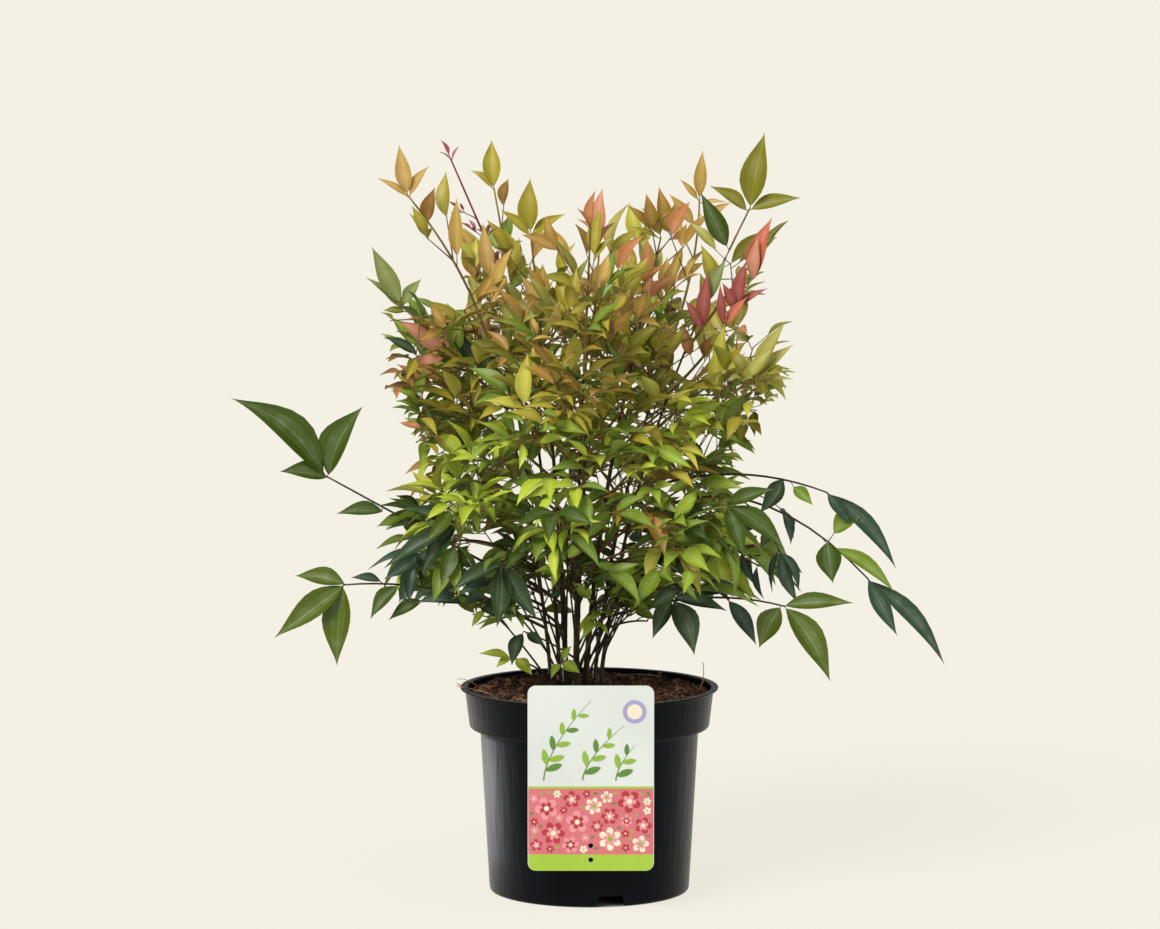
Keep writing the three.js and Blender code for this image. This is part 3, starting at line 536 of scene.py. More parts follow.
def finer_list(canes, sprays):
    """Stalks that the source leaves out: between its storeys, and low on the canes."""
    finer = []
    for spray in sprays:
        if spray["kind"] not in BETWEEN:
            continue
        rise, reach = BETWEEN[spray["kind"]]
        aim = swayed("between", spray["seed"] + BETWEEN_SEEDS, spray["azimuth"] + BETWEEN_TURN,
                     spray["share"] + rise, spray["pitch"] + BETWEEN_LIFT, spray["reach"] * reach)
        finer.append({**spray, "name": spray["name"] + "_between", "pairs": FINER_PAIRS, **aim})
        seed = spray["seed"] + INNER["seeds"]
        aim = swayed("inner", seed, -90 if seed % 3 else 90, spray["share"], spray["pitch"] + INNER["lift"],
                     INNER["reach"])
        finer.append({**spray, "name": spray["name"] + "_inner", "pairs": FINER_PAIRS,
                      "bare": INNER["bare"], **aim})
    for k, cane in enumerate(canes * BASAL_STOREYS):
        share = BASAL["at"] * (1 + k // len(canes))
        aim = swayed("basal", BASAL_SEED + k, cane["azimuth"], share, BASAL["pitch"], BASAL["reach"])
        finer.append({**BASAL, "name": f"basal_{k}", "cane": cane, **aim})
    for single in SINGLES:
        finer.append(aimed(single, canes[single["cane"] - 1], single["share"], SINGLE_SEED))
    return finer


def seat(spray, canes, seated):
    """Puts a stalk on its cane, turned to where it has the most room."""
    cane = spray["cane"]
    centre = place_on(cane["line"], spray["share"])

    def stood(start, ahead):
        steps = 1 if spray["droop"] == 0 else STALK_STEPS
        line = bent(start, ahead, spray["reach"], spray["droop"], steps)
        return {**spray, "ahead": ahead, "start": start, "line": line, "room": sites(line, spray["leaf"])[1]}

    if spray["share"] == TOP:
        ahead = (cane["tip"] - cane["knee"]).normalized()
        return stood(centre + ahead * GAP, ahead)
    limbs = [(other["line"], other["radii"]) for other in canes if other is not cane]
    limbs += [(other["line"], tapered(STALK_RADII, other["line"])) for other in seated]
    stalks = [place for other in seated for place in other["room"]]
    best, most = None, -math.inf
    for veer in (0,) if spray["seed"] == SINGLE_SEED else SEAT_VEERS:
        ahead = along(spray["azimuth"] + veer, spray["pitch"])
        start = centre.copy()
        while foot_gap(start, ahead, cane) < GAP:
            start += ahead * SEAT_STEP
        trial = stood(start, ahead)
        gaps = [(place - other).length for place in trial["room"][SEAT_SKIP:] for other in stalks]
        ease = min([SEAT_ROOMY, *gaps]) - SEAT_VEER_COST * abs(veer)
        ease -= SEAT_ROOMY if blocked(trial["line"], limbs) else 0
        if ease > most:
            best, most = trial, ease
    return best


# ---------------------------------------------------------------- twigs and leaflets, carried finer


def leaflet_at(joint, ahead, facing, roll, length, breadth, **shape):
    return {"joint": joint, "root": joint + ahead * PETIOLE, "ahead": ahead, "length": length,
            "breadth": breadth, "upright": upright_of(ahead, roll, facing), **shape}


def three_leaflets(spray, line, index, size=1):
    """An end leaflet and one to each side of it."""
    kind, hang = spray["kind"], spray["hang"]
    length, breadth = LEAFLET[kind]
    facing = Vector(FACING.get(kind, OTHER_FACING)).normalized()
    way = heading(line)
    leaflets = []
    for k, side in enumerate((0, 1, -1)):
        vary = {measure: by * sway(spray["seed"] + 0.37 * step, index * 3 + k)
                for measure, (by, step) in VARIED.items()}
        roll = spray["roll"] + vary["roll"]
        skew = side * (LEAF_SKEW + vary["skew"]) + vary["turn"]
        ahead = turned(way, upright_of(way, roll, facing), skew)
        ahead.z -= hang * HANG.get(kind, 1) * (1 + vary["hang"]) - RISE.get(kind, 0) + vary["rise"]
        ahead.normalize()
        long = size * (1 if side == 0 else SIDE_SIZE) * (1 + vary["length"])
        leaflets.append(leaflet_at(
            line[-1] + way * (TIP_JOINT[0] - TIP_JOINT[1] * k), ahead, facing, roll, length * long,
            breadth * long * (1 + vary["breadth"]), fold=LEAF_FOLD + vary["fold"], twist=vary["twist"],
            sweep=vary["sweep"], curl=LEAF_CURL + abs(vary["curl"]) + HANG_CURL * max(0, hang),
        ))
    return leaflets


def placed_leaflet(seed, joint, tint, x, y, z, length, breadth, curl, sweep=0):
    """A leaflet placed after the photograph; the seeds are for its roll and its twist."""
    roll, twist = (HERO_VARY * sway(*one) for one in seed)
    return leaflet_at(joint, Vector((x, y, z)).normalized(), Vector(HERO_FACING).normalized(), roll, length,
                      breadth, curl=curl, sweep=sweep, twist=twist, fold=HERO_FOLD, hero=True, tint=tint)


def end_leaflets(spray, line):
    if spray["name"] not in ENDS:
        return three_leaflets(spray, line, 1)
    seed = spray["seed"]
    tint, *blades = ENDS[spray["name"]]
    leaflets = []
    for k, blade in enumerate(blades):
        joint = line[-1] + heading(line) * (TIP_JOINT[0] - TIP_JOINT[1] * k)
        leaflets.append(placed_leaflet(((seed, k), (seed, k + 9)), joint, tint, *blade))
    for k, (tint, share, petiole, *blade) in enumerate(PENDANTS.get(spray["name"], ())):
        joint = place_on(line, share)
        leaf = placed_leaflet(((seed, k + 20), (seed, k + 30)), joint, tint, *blade)
        leaflets.append({**leaf, "root": joint + Vector(petiole)})
    return leaflets


def fitted(spray, reach):
    """A stalk's reach, shortened until its end leaflet stays inside the crown's outline."""
    for _ in range(FIT_ROUNDS):
        line = bent(spray["start"], spray["ahead"], reach, spray["droop"], FINE_STEPS)
        if inside_outline(line[-1] + heading(line) * (FIT_LEAF * LEAFLET[spray["kind"]][0])):
            return reach
        reach *= FIT_SHORTER
    return reach


def fine_stalk(spray):
    name, kind, ahead = spray["name"], spray["kind"], spray["ahead"]
    reach = spray["reach"] + LEAF_SHARE * (spray["leaf"] - LEAFLET[kind][0])
    if name in ENDS:
        reach = spray["reach"]
    elif kind in BETWEEN:
        reach += FLANK.get(kind, 0) * abs(ahead.x) * (spray["reach"] > LONG_STALK)
        reach = fitted(spray, reach)
    line = bent(spray["start"], ahead, reach + TRIM.get(name, 0), spray["droop"], FINE_STEPS)
    lean = Vector(LEANS.get(name, (0, 0, 0)))
    for k, place in enumerate(line):
        place += lean * (k / FINE_STEPS) ** 2
    return line


def lay_out(spray):
    """The fine stalk, its twigs and sprigs, and the leaflets on them."""
    seed, ahead, kind, roll = (spray[key] for key in ("seed", "ahead", "kind", "roll"))
    fine = fine_stalk(spray)
    tip = heading(fine)
    shoots = [{"line": fine, "radii": BASAL_STALK if kind == "basal" else FINE_STALK,
               "leaflets": end_leaflets(spray, fine), "level": 0, "group": 0}]
    pairs = PAIRS.get(spray["name"], spray["pairs"])
    for pair in range(pairs):
        share = spray["bare"] + (1 - spray["bare"]) * (pair / pairs) ** GATHER
        way = ahead.lerp(tip, share).normalized()
        upright = upright_of(way, roll + FINE_TURN.get(kind, 10) * pair)
        for side in (-1, 1):
            index = 10 + pair * 10 + side
            out = turned(way, upright, side * (spray["spread"] + SPREAD_SWAY * sway(seed, index)))
            out.z += TWIG_SWAY * sway(seed, index + 6)
            out.normalize()
            length = spray["twig"] * (1 + TWIG_SWAY * sway(seed, index + 3))
            length *= TWIG_LONGEST - TWIG_SHRINK * pair / max(1, pairs - 1)
            twig = bent(place_on(fine, share), out, length, spray["droop"] * TWIG_DROOP, TWIG_STEPS)
            group = 1 + pair * 2 + (side > 0)
            shoots.append({"line": twig, "radii": TWIG_RADII, "level": 1, "group": group, "at": share,
                           "leaflets": three_leaflets(spray, twig, index)})
            if pair > SPRIGGED.get(kind, pairs - 3) or pairs < 3:
                continue
            for k, (at, turn) in enumerate(SPRIGS):
                spread = turn * (SPRIG_ANGLE + 12 * sway(seed, index + k))
                inner = turned(out, upright_of(out, roll + 30 * sway(seed, index * 5 + k)), spread)
                length = SPRIG * (1 + 0.3 * sway(seed, index * 2 + k))
                sprig = bent(place_on(twig, at), inner, length, 0, SPRIG_STEPS)
                leaflets = three_leaflets(spray, sprig, index + 0.5 + 0.2 * k, SPRIG_SIZE)
                shoots.append({"line": sprig, "radii": SPRIG_RADII, "level": 2, "group": group, "at": at,
                               "leaflets": leaflets})
    return {**spray, "shoots": shoots}


# ---------------------------------------------------------------- which leaflets stay


def corners(leaflet):
    ahead, upright = leaflet["ahead"], leaflet["upright"]
    length, breadth = leaflet["length"], leaflet["breadth"]
    across = upright.cross(ahead)
    middle = leaflet["root"] + ahead * (LEAF_WIDEST * length)
    middle += upright * (0.03 * length)
    middle += across * (leaflet["sweep"] * length)
    rise = upright * (leaflet["fold"] * breadth / 2)
    half = across * (breadth / 2)
    tip = leaflet["root"] + ahead * length - upright * (leaflet["curl"] * length)
    return leaflet["root"], middle + half + rise, tip, middle - half + rise, middle


def probes(leaflet):
    root, left, tip, right, middle = corners(leaflet)
    return [middle, tip, left, right, (root + middle) / 2, (middle + tip) / 2, (left + tip) / 2,
            (right + tip) / 2]


def blade_tree(leaflet, spacing=1):
    places = corners({**leaflet, "breadth": leaflet["breadth"] * spacing})
    return BVHTree.FromPolygons(list(places), [(0, 1, 4), (1, 2, 4), (2, 3, 4), (3, 0, 4)])


def tree_of(places):
    tree = KDTree(len(places))
    for k, place in enumerate(places):
        tree.insert(place, k)
    tree.balance()
    return tree


def wood_tree(limbs):
    points, faces = [], []
    for line, radii in limbs:
        some, sides = tube(line, radii, 6)
        faces += [tuple(len(points) + i for i in face) for face in sides]
        points += some
    return BVHTree.FromPolygons(points, faces)


class Crowd:
    """The leaflets placed so far, so that a new one can keep clear of them."""

    def __init__(self):
        self.cells = {}

    def cell(self, place):
        return tuple(int(v // CELL) for v in place)

    def free(self, middle, blade):
        x, y, z = self.cell(middle)
        near = [(x + i, y + j, z + k) for i in (-1, 0, 1) for j in (-1, 0, 1) for k in (-1, 0, 1)]
        return not any(blade.overlap(other) for key in near for other in self.cells.get(key, ()))

    def add(self, middle, blade):
        self.cells.setdefault(self.cell(middle), []).append(blade)


def airy(spray, shoot):
    """Whether a shoot bears leaves: the crown thins out to its top."""
    height = shoot["line"][-1].z + THIN_SLOPE * shoot["line"][-1].y
    full = 1 - THIN_SHARE * max(0, min(1, (height - THIN_FROM) / THIN_OVER))
    draw = 0.5 + 0.5 * sway(spray["seed"] + 0.7, shoot["group"] * 7 + shoot["line"][0].z)
    return shoot["level"] == 0 or draw < full


def inside_outline(place):
    heights, reaches = zip(*REACHES)
    out = place - CENTRE
    return math.hypot(out.x, CROWN_DEPTH * out.y) < np.interp(place.z, heights, reaches)


def in_sky(place):
    seen = VIEW + (place - VIEW) * (VIEW.y / (VIEW.y - place.y))
    return any(((seen.x - x) / wide) ** 2 + ((seen.z - z) / high) ** 2 < 1 for x, z, wide, high in SKY)


def within(place, kind):
    """Whether a leaf may be here: the outline is a goblet, and over the pot the stems stand bare."""
    if kind == "basal" or any(kind == outlier["name"] for outlier in OUTLIERS):
        return place.z > LOWEST
    bare = STEMS_TOP + 6 * ((place.x + 5) / 100) ** 2 - 0.12 * place.y
    if place.y < STEMS_FRONT:
        bare += STEMS_RISE * math.exp(-(((place.x + 8) / STEMS_WIDTH) ** 2))
    return place.z > bare and inside_outline(place) and not in_sky(place)


def keep_leaflets(spray, leaflets, in_room, limbs_tree, crowd):
    kept = []
    for leaflet in leaflets:
        if leaflet.get("hero"):
            kept.append(leaflet)
            crowd.add(probes(leaflet)[0], blade_tree(leaflet))
            continue
        for size in LEAF_SIZES:
            sized = {**leaflet, "length": leaflet["length"] * size, "breadth": leaflet["breadth"] * size}
            spots = probes(sized)
            if not all(within(place, spray["kind"]) and in_room(place) for place in spots):
                continue
            roomy = blade_tree(sized, SPACING.get(spray["kind"], 1))
            if not blade_tree(sized).overlap(limbs_tree) and crowd.free(spots[0], roomy):
                crowd.add(spots[0], roomy)
                kept.append(sized)
                break
    return kept


def pruned(shoots):
    """Without the wood that bears no leaflets: each shoot ends where it bears its last."""
    kept = []
    for level in (2, 1, 0):
        for shoot in shoots:
            if shoot["level"] != level:
                continue
            bearers = [other["at"] for other in kept if other["level"] == level + 1
                       and (level == 0 or other["group"] == shoot["group"])]
            if shoot["leaflets"]:
                kept.append(shoot)
            elif bearers:
                line, share = shoot["line"], max(bearers)
                whole = math.ceil(share * (len(line) - 1) - 1e-6)
                kept.append({**shoot, "line": line[:whole] + [place_on(line, share)]})
    return kept[::-1]


def stouter(radii, line, by):
    return line, [radius * by for radius in tapered(radii, line)]


def passing(spray, in_room, bark):
    """A spray's shoots that have their own room and don't run through a cane."""
    kept, lost = [], set()
    for shoot in spray["shoots"]:
        path = sites(shoot["line"], 0)[0][1:]
        wood = wood_tree([(shoot["line"], tapered(shoot["radii"], shoot["line"]))])
        passes = all(in_room(place) for place in path) and not wood.overlap(bark)
        if shoot["level"] == 0 or (passes and (shoot["level"] == 1 or shoot["group"] not in lost)):
            kept.append(shoot)
        elif shoot["level"] == 1:
            lost.add(shoot["group"])
    return kept


def grow(canes):
    seated = []
    for spray in spray_list(canes):
        seated.append(seat(spray, canes, seated))
    for spray in finer_list(canes, seated):
        seated.append(seat(spray, canes, seated))
    sprays = [lay_out(spray) for spray in seated]

    def room_test(spray):
        strangers = tree_of([p for other in sprays if other is not spray for p in other["room"]])
        own = tree_of(spray["room"])
        return lambda place: strangers.find(place)[2] > own.find(place)[2] + CLEAR_ROOM

    limbs = [stouter(FINE_CANE, cane["line"], CANE_SPARE) for cane in canes]
    bark = wood_tree(limbs)
    for spray in sprays:
        spray["shoots"] = passing(spray, room_test(spray), bark)
    for spray in sprays:
        for shoot in spray["shoots"][1:]:
            spray["room"] += sites(shoot["line"], ROOM_TWIG_LEAF * LEAFLET[spray["kind"]][0])[1]
    limbs += [stouter(FINE_STALK, spray["shoots"][0]["line"], STALK_SPARE) for spray in sprays]
    limbs_tree = wood_tree(limbs)
    crowd = Crowd()
    tests = {spray["name"]: room_test(spray) for spray in sprays}
    for level in range(3):
        for spray in sprays:
            for shoot in spray["shoots"]:
                if shoot["level"] == level:
                    leaflets = shoot["leaflets"] if airy(spray, shoot) else []
                    in_room = tests[spray["name"]]
                    shoot["leaflets"] = keep_leaflets(spray, leaflets, in_room, limbs_tree, crowd)
    for spray in sprays:
        spray["shoots"] = pruned(spray["shoots"])
    return sprays


# ---------------------------------------------------------------- materials

BLACK, WHITE = (0, 0, 0, 1), (1, 1, 1, 1)
DETAIL = 4  # of the noise in mottles and grain
RAMP_ENDS = (0.32, 0.68)


def rgba(code):
    """Linear red, green, blue and alpha of a hex colour."""
    values = [int(code[i : i + 2], 16) / 255 for i in (1, 3, 5)]
    linear = [v / 12.92 if v <= 0.04045 else ((v + 0.055) / 1.055) ** 2.4 for v in values]
    return (*linear, 1.0)


def mixed(one, other, share):
    return tuple(lerp(a, b, share) for a, b in zip(one, other))


def add_node(tree, kind, **values):
    node = tree.nodes.new("ShaderNode" + kind)
    for name, value in values.items():
        node.inputs[name].default_value = value
    return node


def material(name, dark, light, scale, roughness, bump=0.2, bump_scale=None, specular=0.5,
             stretch=(1, 1, 1), bump_distance=0.0004):
    """A procedural finish: colour mottled from dark to light, with a fine relief."""
    made = bpy.data.materials.new(name)
    made.use_nodes = True
    tree = made.node_tree
    shader = tree.nodes["Principled BSDF"]
    shader.inputs["Roughness"].default_value = roughness
    shader.inputs["Specular IOR Level"].default_value = specular
    place = add_node(tree, "TexCoord")
    squeeze = add_node(tree, "Mapping", Scale=stretch)
    mottle = add_node(tree, "TexNoise", Scale=scale, Detail=DETAIL)
    ramp = add_node(tree, "ValToRGB")
    grain = add_node(tree, "TexNoise", Scale=bump_scale or scale * 6, Detail=DETAIL)
    relief = add_node(tree, "Bump", Strength=bump, Distance=bump_distance)
    for stop, position, colour in zip(ramp.color_ramp.elements, RAMP_ENDS, (dark, light)):
        stop.position = position
        stop.color = rgba(colour) if isinstance(colour, str) else colour
    for source, output, target, entry in (
        (place, "Object", squeeze, "Vector"), (squeeze, "Vector", mottle, "Vector"),
        (mottle, "Fac", ramp, "Fac"), (ramp, "Color", shader, "Base Color"),
        (squeeze, "Vector", grain, "Vector"), (grain, "Fac", relief, "Height"),
        (relief, "Normal", shader, "Normal"),
    ):
        tree.links.new(source.outputs[output], target.inputs[entry])
    return made


# ---------------------------------------------------------------- meshes


def mesh_of(name, points, corner_index, counts, slots, materials, nodes=()):
    """A piece in metres from arrays in millimetres."""
    mesh = bpy.data.meshes.new(name)
    points = np.asarray(points, np.float32).reshape(-1, 3) * MM
    counts = np.asarray(counts, np.int32)
    mesh.vertices.add(len(points))
    mesh.vertices.foreach_set("co", points.ravel())
    mesh.loops.add(int(counts.sum()))
    mesh.loops.foreach_set("vertex_index", np.asarray(corner_index, np.int32))
    mesh.polygons.add(len(counts))
    starts = np.concatenate(([0], np.cumsum(counts)[:-1])).astype(np.int32)
    mesh.polygons.foreach_set("loop_start", starts)
    mesh.polygons.foreach_set("material_index", np.asarray(slots, np.int32))
    mesh.polygons.foreach_set("use_smooth", np.ones(len(counts), bool))
    mesh.update(calc_edges=True)
    mesh.validate()
    for one in materials:
        mesh.materials.append(one)
    piece = bpy.data.objects.new(name, mesh)
    SCENE.collection.objects.link(piece)
    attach(piece, "root")
    if nodes:
        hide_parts(*nodes)
    return piece


class Heap:
    """Points and faces of the things that are joined into one piece."""

    def __init__(self):
        self.points, self.faces, self.slots = [], [], []

    def add(self, points, faces, slot=0):
        base = len(self.points)
        self.points += points
        self.faces += [tuple(base + i for i in face) for face in faces]
        self.slots += [slot] * len(faces)
        return self

    def piece(self, name, materials, body_slot, nodes=()):
        corner_index = [i for face in self.faces for i in face]
        return mesh_of(name, [tuple(p) for p in self.points], corner_index, [len(f) for f in self.faces],
                       self.slots, materials, nodes)


def crease(piece, degrees):
    """Sharp edges where faces meet at more than an angle."""
    work = bmesh.new()
    work.from_mesh(piece.data)
    for edge in work.edges:
        edge.smooth = len(edge.link_faces) == 2 and edge.calc_face_angle(0) < math.radians(degrees)
    work.to_mesh(piece.data)
    work.free()


def cut_away(piece, outlines):
    """Cuts the prism between two outlines out of a piece."""
    points, faces = skin(outlines)
    mesh = bpy.data.meshes.new("cutter")
    mesh.from_pydata([p * MM for p in points], [], faces)
    cutter = bpy.data.objects.new("cutter", mesh)
    SCENE.collection.objects.link(cutter)
    cut = piece.modifiers.new("cut", "BOOLEAN")
    cut.operation, cut.solver, cut.object = "DIFFERENCE", "EXACT", cutter
    bpy.context.view_layer.update()
    with bpy.context.temp_override(object=piece, active_object=piece, selected_objects=[piece]):
        bpy.ops.object.modifier_apply(modifier=cut.name)
    bpy.data.objects.remove(cutter)


# ---------------------------------------------------------------- leaves

# A leaflet's stations from root to tip, and its columns: six across the upper face with a narrow
# midrib, and three across the lower one. Each column's strip has its material.
STATIONS = np.array([0.035, 0.11, 0.21, 0.32, 0.44, 0.56, 0.68, 0.79, 0.88, 0.95])
COLUMNS = np.array([-1, -0.52, -0.055, 0.055, 0.52, 1, 0.5, 0, -0.5])
UNDER = [0, 0, 0, 0, 0, 0, 1, 1, 1]
BLADE, UNDERSIDE, MIDRIB, SHADED_MARGIN = range(4)
# The outer strips of the upper face take the margin finish, darkened as painted shade to model the blade.
STRIPS = [SHADED_MARGIN, BLADE, MIDRIB, BLADE, SHADED_MARGIN, UNDERSIDE, UNDERSIDE, UNDERSIDE, UNDERSIDE]
MARGIN_COLUMNS = (0, 5)
ACROSS, ROWS = len(COLUMNS), len(STATIONS)
_, LEAF_FACES = skin([[0], *[range(ACROSS)] * ROWS, [0]], flip=True)
LEAF_SLOTS = STRIPS * (ROWS + 1)
LEAF_COUNT = ROWS * ACROSS + 2
LEAF_THICK = 0.4
LEAF_BOW = 0.045
LEAF_WAVE = 0.03
RIPPLES = 9
TWIST_FROM = 0.3


def leaf_outline(t):
    rising = np.sin(np.pi / 2 * np.clip(t / LEAF_WIDEST, 0, 1)) ** 0.85
    falling = np.cos(np.pi / 2 * np.clip((t - LEAF_WIDEST) / (1 - LEAF_WIDEST), 0, 1)) ** 1.4
    return np.where(t < LEAF_WIDEST, rising, falling)


def leaf_points(leaflets):
    """All the leaflets' points, one row of them for each leaflet."""

    def gathered(key):
        return np.array([tuple(leaf[key]) for leaf in leaflets])[:, None, :]

    def number(key):
        return np.array([leaf[key] for leaf in leaflets])[:, None]

    ahead, upright = gathered("ahead"), gathered("upright")
    length, half = number("length"), number("breadth") / 2
    t = np.concatenate(([0], np.repeat(STATIONS, ACROSS), [1]))
    width = leaf_outline(t) * np.concatenate(([0], np.tile(COLUMNS, ROWS), [0]))
    under = np.concatenate(([0], np.tile(UNDER, ROWS), [0]))
    bow = LEAF_BOW * np.sin(np.pi * t) * length - number("curl") * length * t**2
    fold = number("fold") * np.abs(width) * half
    wave = LEAF_WAVE * half * np.abs(width) * np.sin(RIPPLES * t + 40 * number("fold"))
    twist = np.radians(number("twist")) * (t - TWIST_FROM)
    sideways = width * half + number("sweep") * length * np.sin(np.pi * t)
    rise = bow + (fold + wave) * np.cos(twist) + sideways * np.sin(twist) - under * LEAF_THICK
    sideways = sideways * np.cos(twist)
    along_it, across_it, above_it = ((length * t)[:, :, None], sideways[:, :, None], rise[:, :, None])
    return gathered("root") + ahead * along_it + np.cross(upright, ahead) * across_it + upright * above_it


def leaf_piece(name, leaflets, materials, nodes=()):
    offsets = np.arange(len(leaflets))[:, None] * LEAF_COUNT
    corner_index = (np.array([i for face in LEAF_FACES for i in face])[None, :] + offsets).ravel()
    counts = np.tile([len(face) for face in LEAF_FACES], len(leaflets))
    slots = np.tile(LEAF_SLOTS, len(leaflets))
    piece = mesh_of(name, leaf_points(leaflets), corner_index, counts, slots, materials, nodes)
    mesh = piece.data
    ends = np.empty(len(mesh.edges) * 2, np.int32)
    mesh.edges.foreach_get("vertices", ends)
    ends = ends.reshape(-1, 2) % LEAF_COUNT
    inner = ((ends > 0) & (ends < LEAF_COUNT - 1)).all(1)
    columns = (ends - 1) % ACROSS
    margin = (columns[:, 0] == columns[:, 1]) & np.isin(columns[:, 0], MARGIN_COLUMNS)
    sharp = mesh.attributes.new("sharp_edge", "BOOLEAN", "EDGE")
    sharp.data.foreach_set("value", inner & margin)


TINTS = {
    "deep": "#263a1a", "dark": "#374b08", "slate": "#2b4230", "mid": "#64791f", "fresh": "#80932a",
    "lime": "#9ead30", "yellow": "#a9a53c", "moss": "#6e6c13", "olive": "#938824", "gold": "#a98b42",
    "bronze": "#94732c", "brown": "#79541f", "copper": "#a86f42", "salmon": "#b67d62", "sage": "#928e42",
    "straw": "#aa8c4c", "fern": "#717a41", "grove": "#46560f", "orange": "#b0624a", "red": "#8f4640",
    "rose": "#98464e",
}
LEAF_LIGHT = 1.24
LEAF_MOTTLE = 90
# The tints that a storey's twigs draw from, in equal shares.
DEALT = {
    "skirt": "deep dark dark slate mid deep mid", "low": "mid dark fresh mid grove lime mid",
    "low_between": "lime fresh mid lime fresh yellow lime", "low_inner": "mid dark grove fresh",
    "middle": "lime fresh mid lime olive fresh bronze",
    "middle_between": "moss olive mid bronze sage grove olive brown",
    "middle_inner": "moss mid olive fresh", "upper": "olive sage moss olive bronze gold moss mid brown",
    "tuft": "gold bronze olive gold olive bronze yellow gold copper", "basal": "mid fresh lime dark mid",
    "sprout": "rose", "left_high": "dark", "left_low": "dark mid", "right_arch": "slate dark slate mid",
    "right_low": "mid",
}
# Sprays that turned in autumn.
TURNED = {
    "upper_08": "moss copper olive sage", "middle_08": "yellow sage olive bronze yellow mid",
    "middle_07_between": "sage yellow lime copper", "tuft_08": "gold olive moss olive",
    "upper_05": "moss dark olive mid", "upper_05_between": "olive bronze moss gold",
    "middle_05": "copper fresh brown mid olive", "tuft_06": "olive bronze gold bronze copper",
    "tuft_07": "olive bronze gold salmon",
}


def dealt_by_tint(sprays):
    """The leaflets of each tint: a placed one has its own, the others take their twig's."""
    by_tint = {}
    for spray in sprays:
        finer = next((end for end in ("_between", "_inner") if spray["name"].endswith(end)), "")
        dealt = DEALT.get(spray["kind"] + finer, DEALT[spray["kind"]])
        palette = TURNED.get(spray["name"]) or TURNED.get(spray["name"].removesuffix(finer), dealt)
        palette = palette.split()
        for shoot in spray["shoots"]:
            draw = 0.5 + 0.4999 * sway(spray["seed"], 900 + shoot["group"])
            tint = palette[int(draw * len(palette))]
            for leaf in shoot["leaflets"]:
                by_tint.setdefault(leaf.get("tint", tint), []).append(leaf)
    return by_tint


def leaf_finishes(tint):
    """The finishes of the blade, its paler underside, its midrib and its margin, which is darkened as
    painted shade.
    """
    base = tuple(v * LEAF_LIGHT for v in rgba(TINTS[tint])[:3]) + (1,)
    pale = mixed(base, rgba("#8f9a5c"), 0.3)
    vein = mixed(base, rgba("#b9c07a"), 0.05)
    gloss = {"bump": 0.15, "bump_scale": 700, "specular": 0.3}
    looks = {
        "leaf": (mixed(base, BLACK, 0.1), mixed(base, WHITE, 0.04), 0.42, gloss),
        "underleaf": (mixed(pale, BLACK, 0.1), pale, 0.6, {"specular": 0.15}),
        "midrib": (vein, mixed(vein, WHITE, 0.1), 0.45, {"specular": 0.2}),
        # The margin is darker than the blade: painted shade.
        "margin": (mixed(base, BLACK, 0.24), mixed(base, BLACK, 0.08), 0.42, gloss),
    }
    return [material(f"{part}_{tint}", dark, light, LEAF_MOTTLE, roughness, **more)
            for part, (dark, light, roughness, more) in looks.items()]


canes = cane_list()
sprays = grow(canes)
foliage_nodes = sorted(spray["name"] for spray in sprays if spray["name"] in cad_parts)
for k, (tint, leaflets) in enumerate(sorted(dealt_by_tint(sprays).items())):
    leaf_piece(f"leaves_{tint}", leaflets, leaf_finishes(tint),
               foliage_nodes if k == 0 else ())

# ---------------------------------------------------------------- twigs and canes

CANE_SIDES, CANE_STEPS = 18, 90
CANE_SUNK = Vector((0, 0, 4))
CANE_FOOT = 0.35  # how much stouter a cane is where it starts
RIDGES, JOINTS = 0.12, 0.13
TWIG_FINISH = {"low": 1, "middle": 1, "upper": 1, "tuft": 1, "sprout": 2}  # young or red, else dark


def twigs():
    finishes = [material("stalk_dark", "#241a10", "#4a3824", 60, 0.5, specular=0.25),
                material("stalk_young", "#5d4720", "#857036", 60, 0.45, specular=0.25),
                material("stalk_red", "#5c2430", "#8a3d48", 60, 0.5, specular=0.2)]
    wood = Heap()
    for spray in sprays:
        finish = TWIG_FINISH.get(spray["kind"], 0)
        for shoot in spray["shoots"]:
            line = shoot["line"]
            if shoot["level"] == 0:
                line = [place_on(spray["cane"]["line"], spray["share"])] + line
            sides = 8 if shoot["level"] == 0 else 5
            wood.add(*tube(line, tapered(shoot["radii"], line), sides), finish)
            for leaf in shoot["leaflets"]:
                petiole = [leaf["joint"], leaf["root"] + leaf["ahead"] * 0.8]
                wood.add(*tube(petiole, PETIOLE_RADII, 4), finish)
    wood.piece("twigs", finishes, "bark")


def cane_points(cane):
    """A cane's surface: ridged bark, and the rings where old leaves stood."""
    steps = range(CANE_STEPS + 1)
    line = [bezier(cane["foot"] - CANE_SUNK, cane["knee"], cane["tip"], k / CANE_STEPS) for k in steps]
    outer = cane["seed"] <= CANE_RINGS[0]["count"]
    stout = 0.8 + 0.12 * sway(cane["seed"], 9) if outer else 1.1
    points = []
    for k, centre in enumerate(line):
        share = k / CANE_STEPS
        radius = stout * lerp(*FINE_CANE, share) * (1 + CANE_FOOT * max(0, 1 - share * 6) ** 2)
        joint = JOINTS * math.exp(-(((share * 9 + cane["seed"] * 0.3) % 1 - 0.5) / 0.05) ** 2)
        for a, out in zip(turns(CANE_SIDES), spokes(heading(line, k), CANE_SIDES)):
            ridge = noise.noise(Vector((*polar(3, a), share * 5 + cane["seed"] * 7)))
            points.append(centre + out * radius * (1 + RIDGES * ridge + joint))
    return points


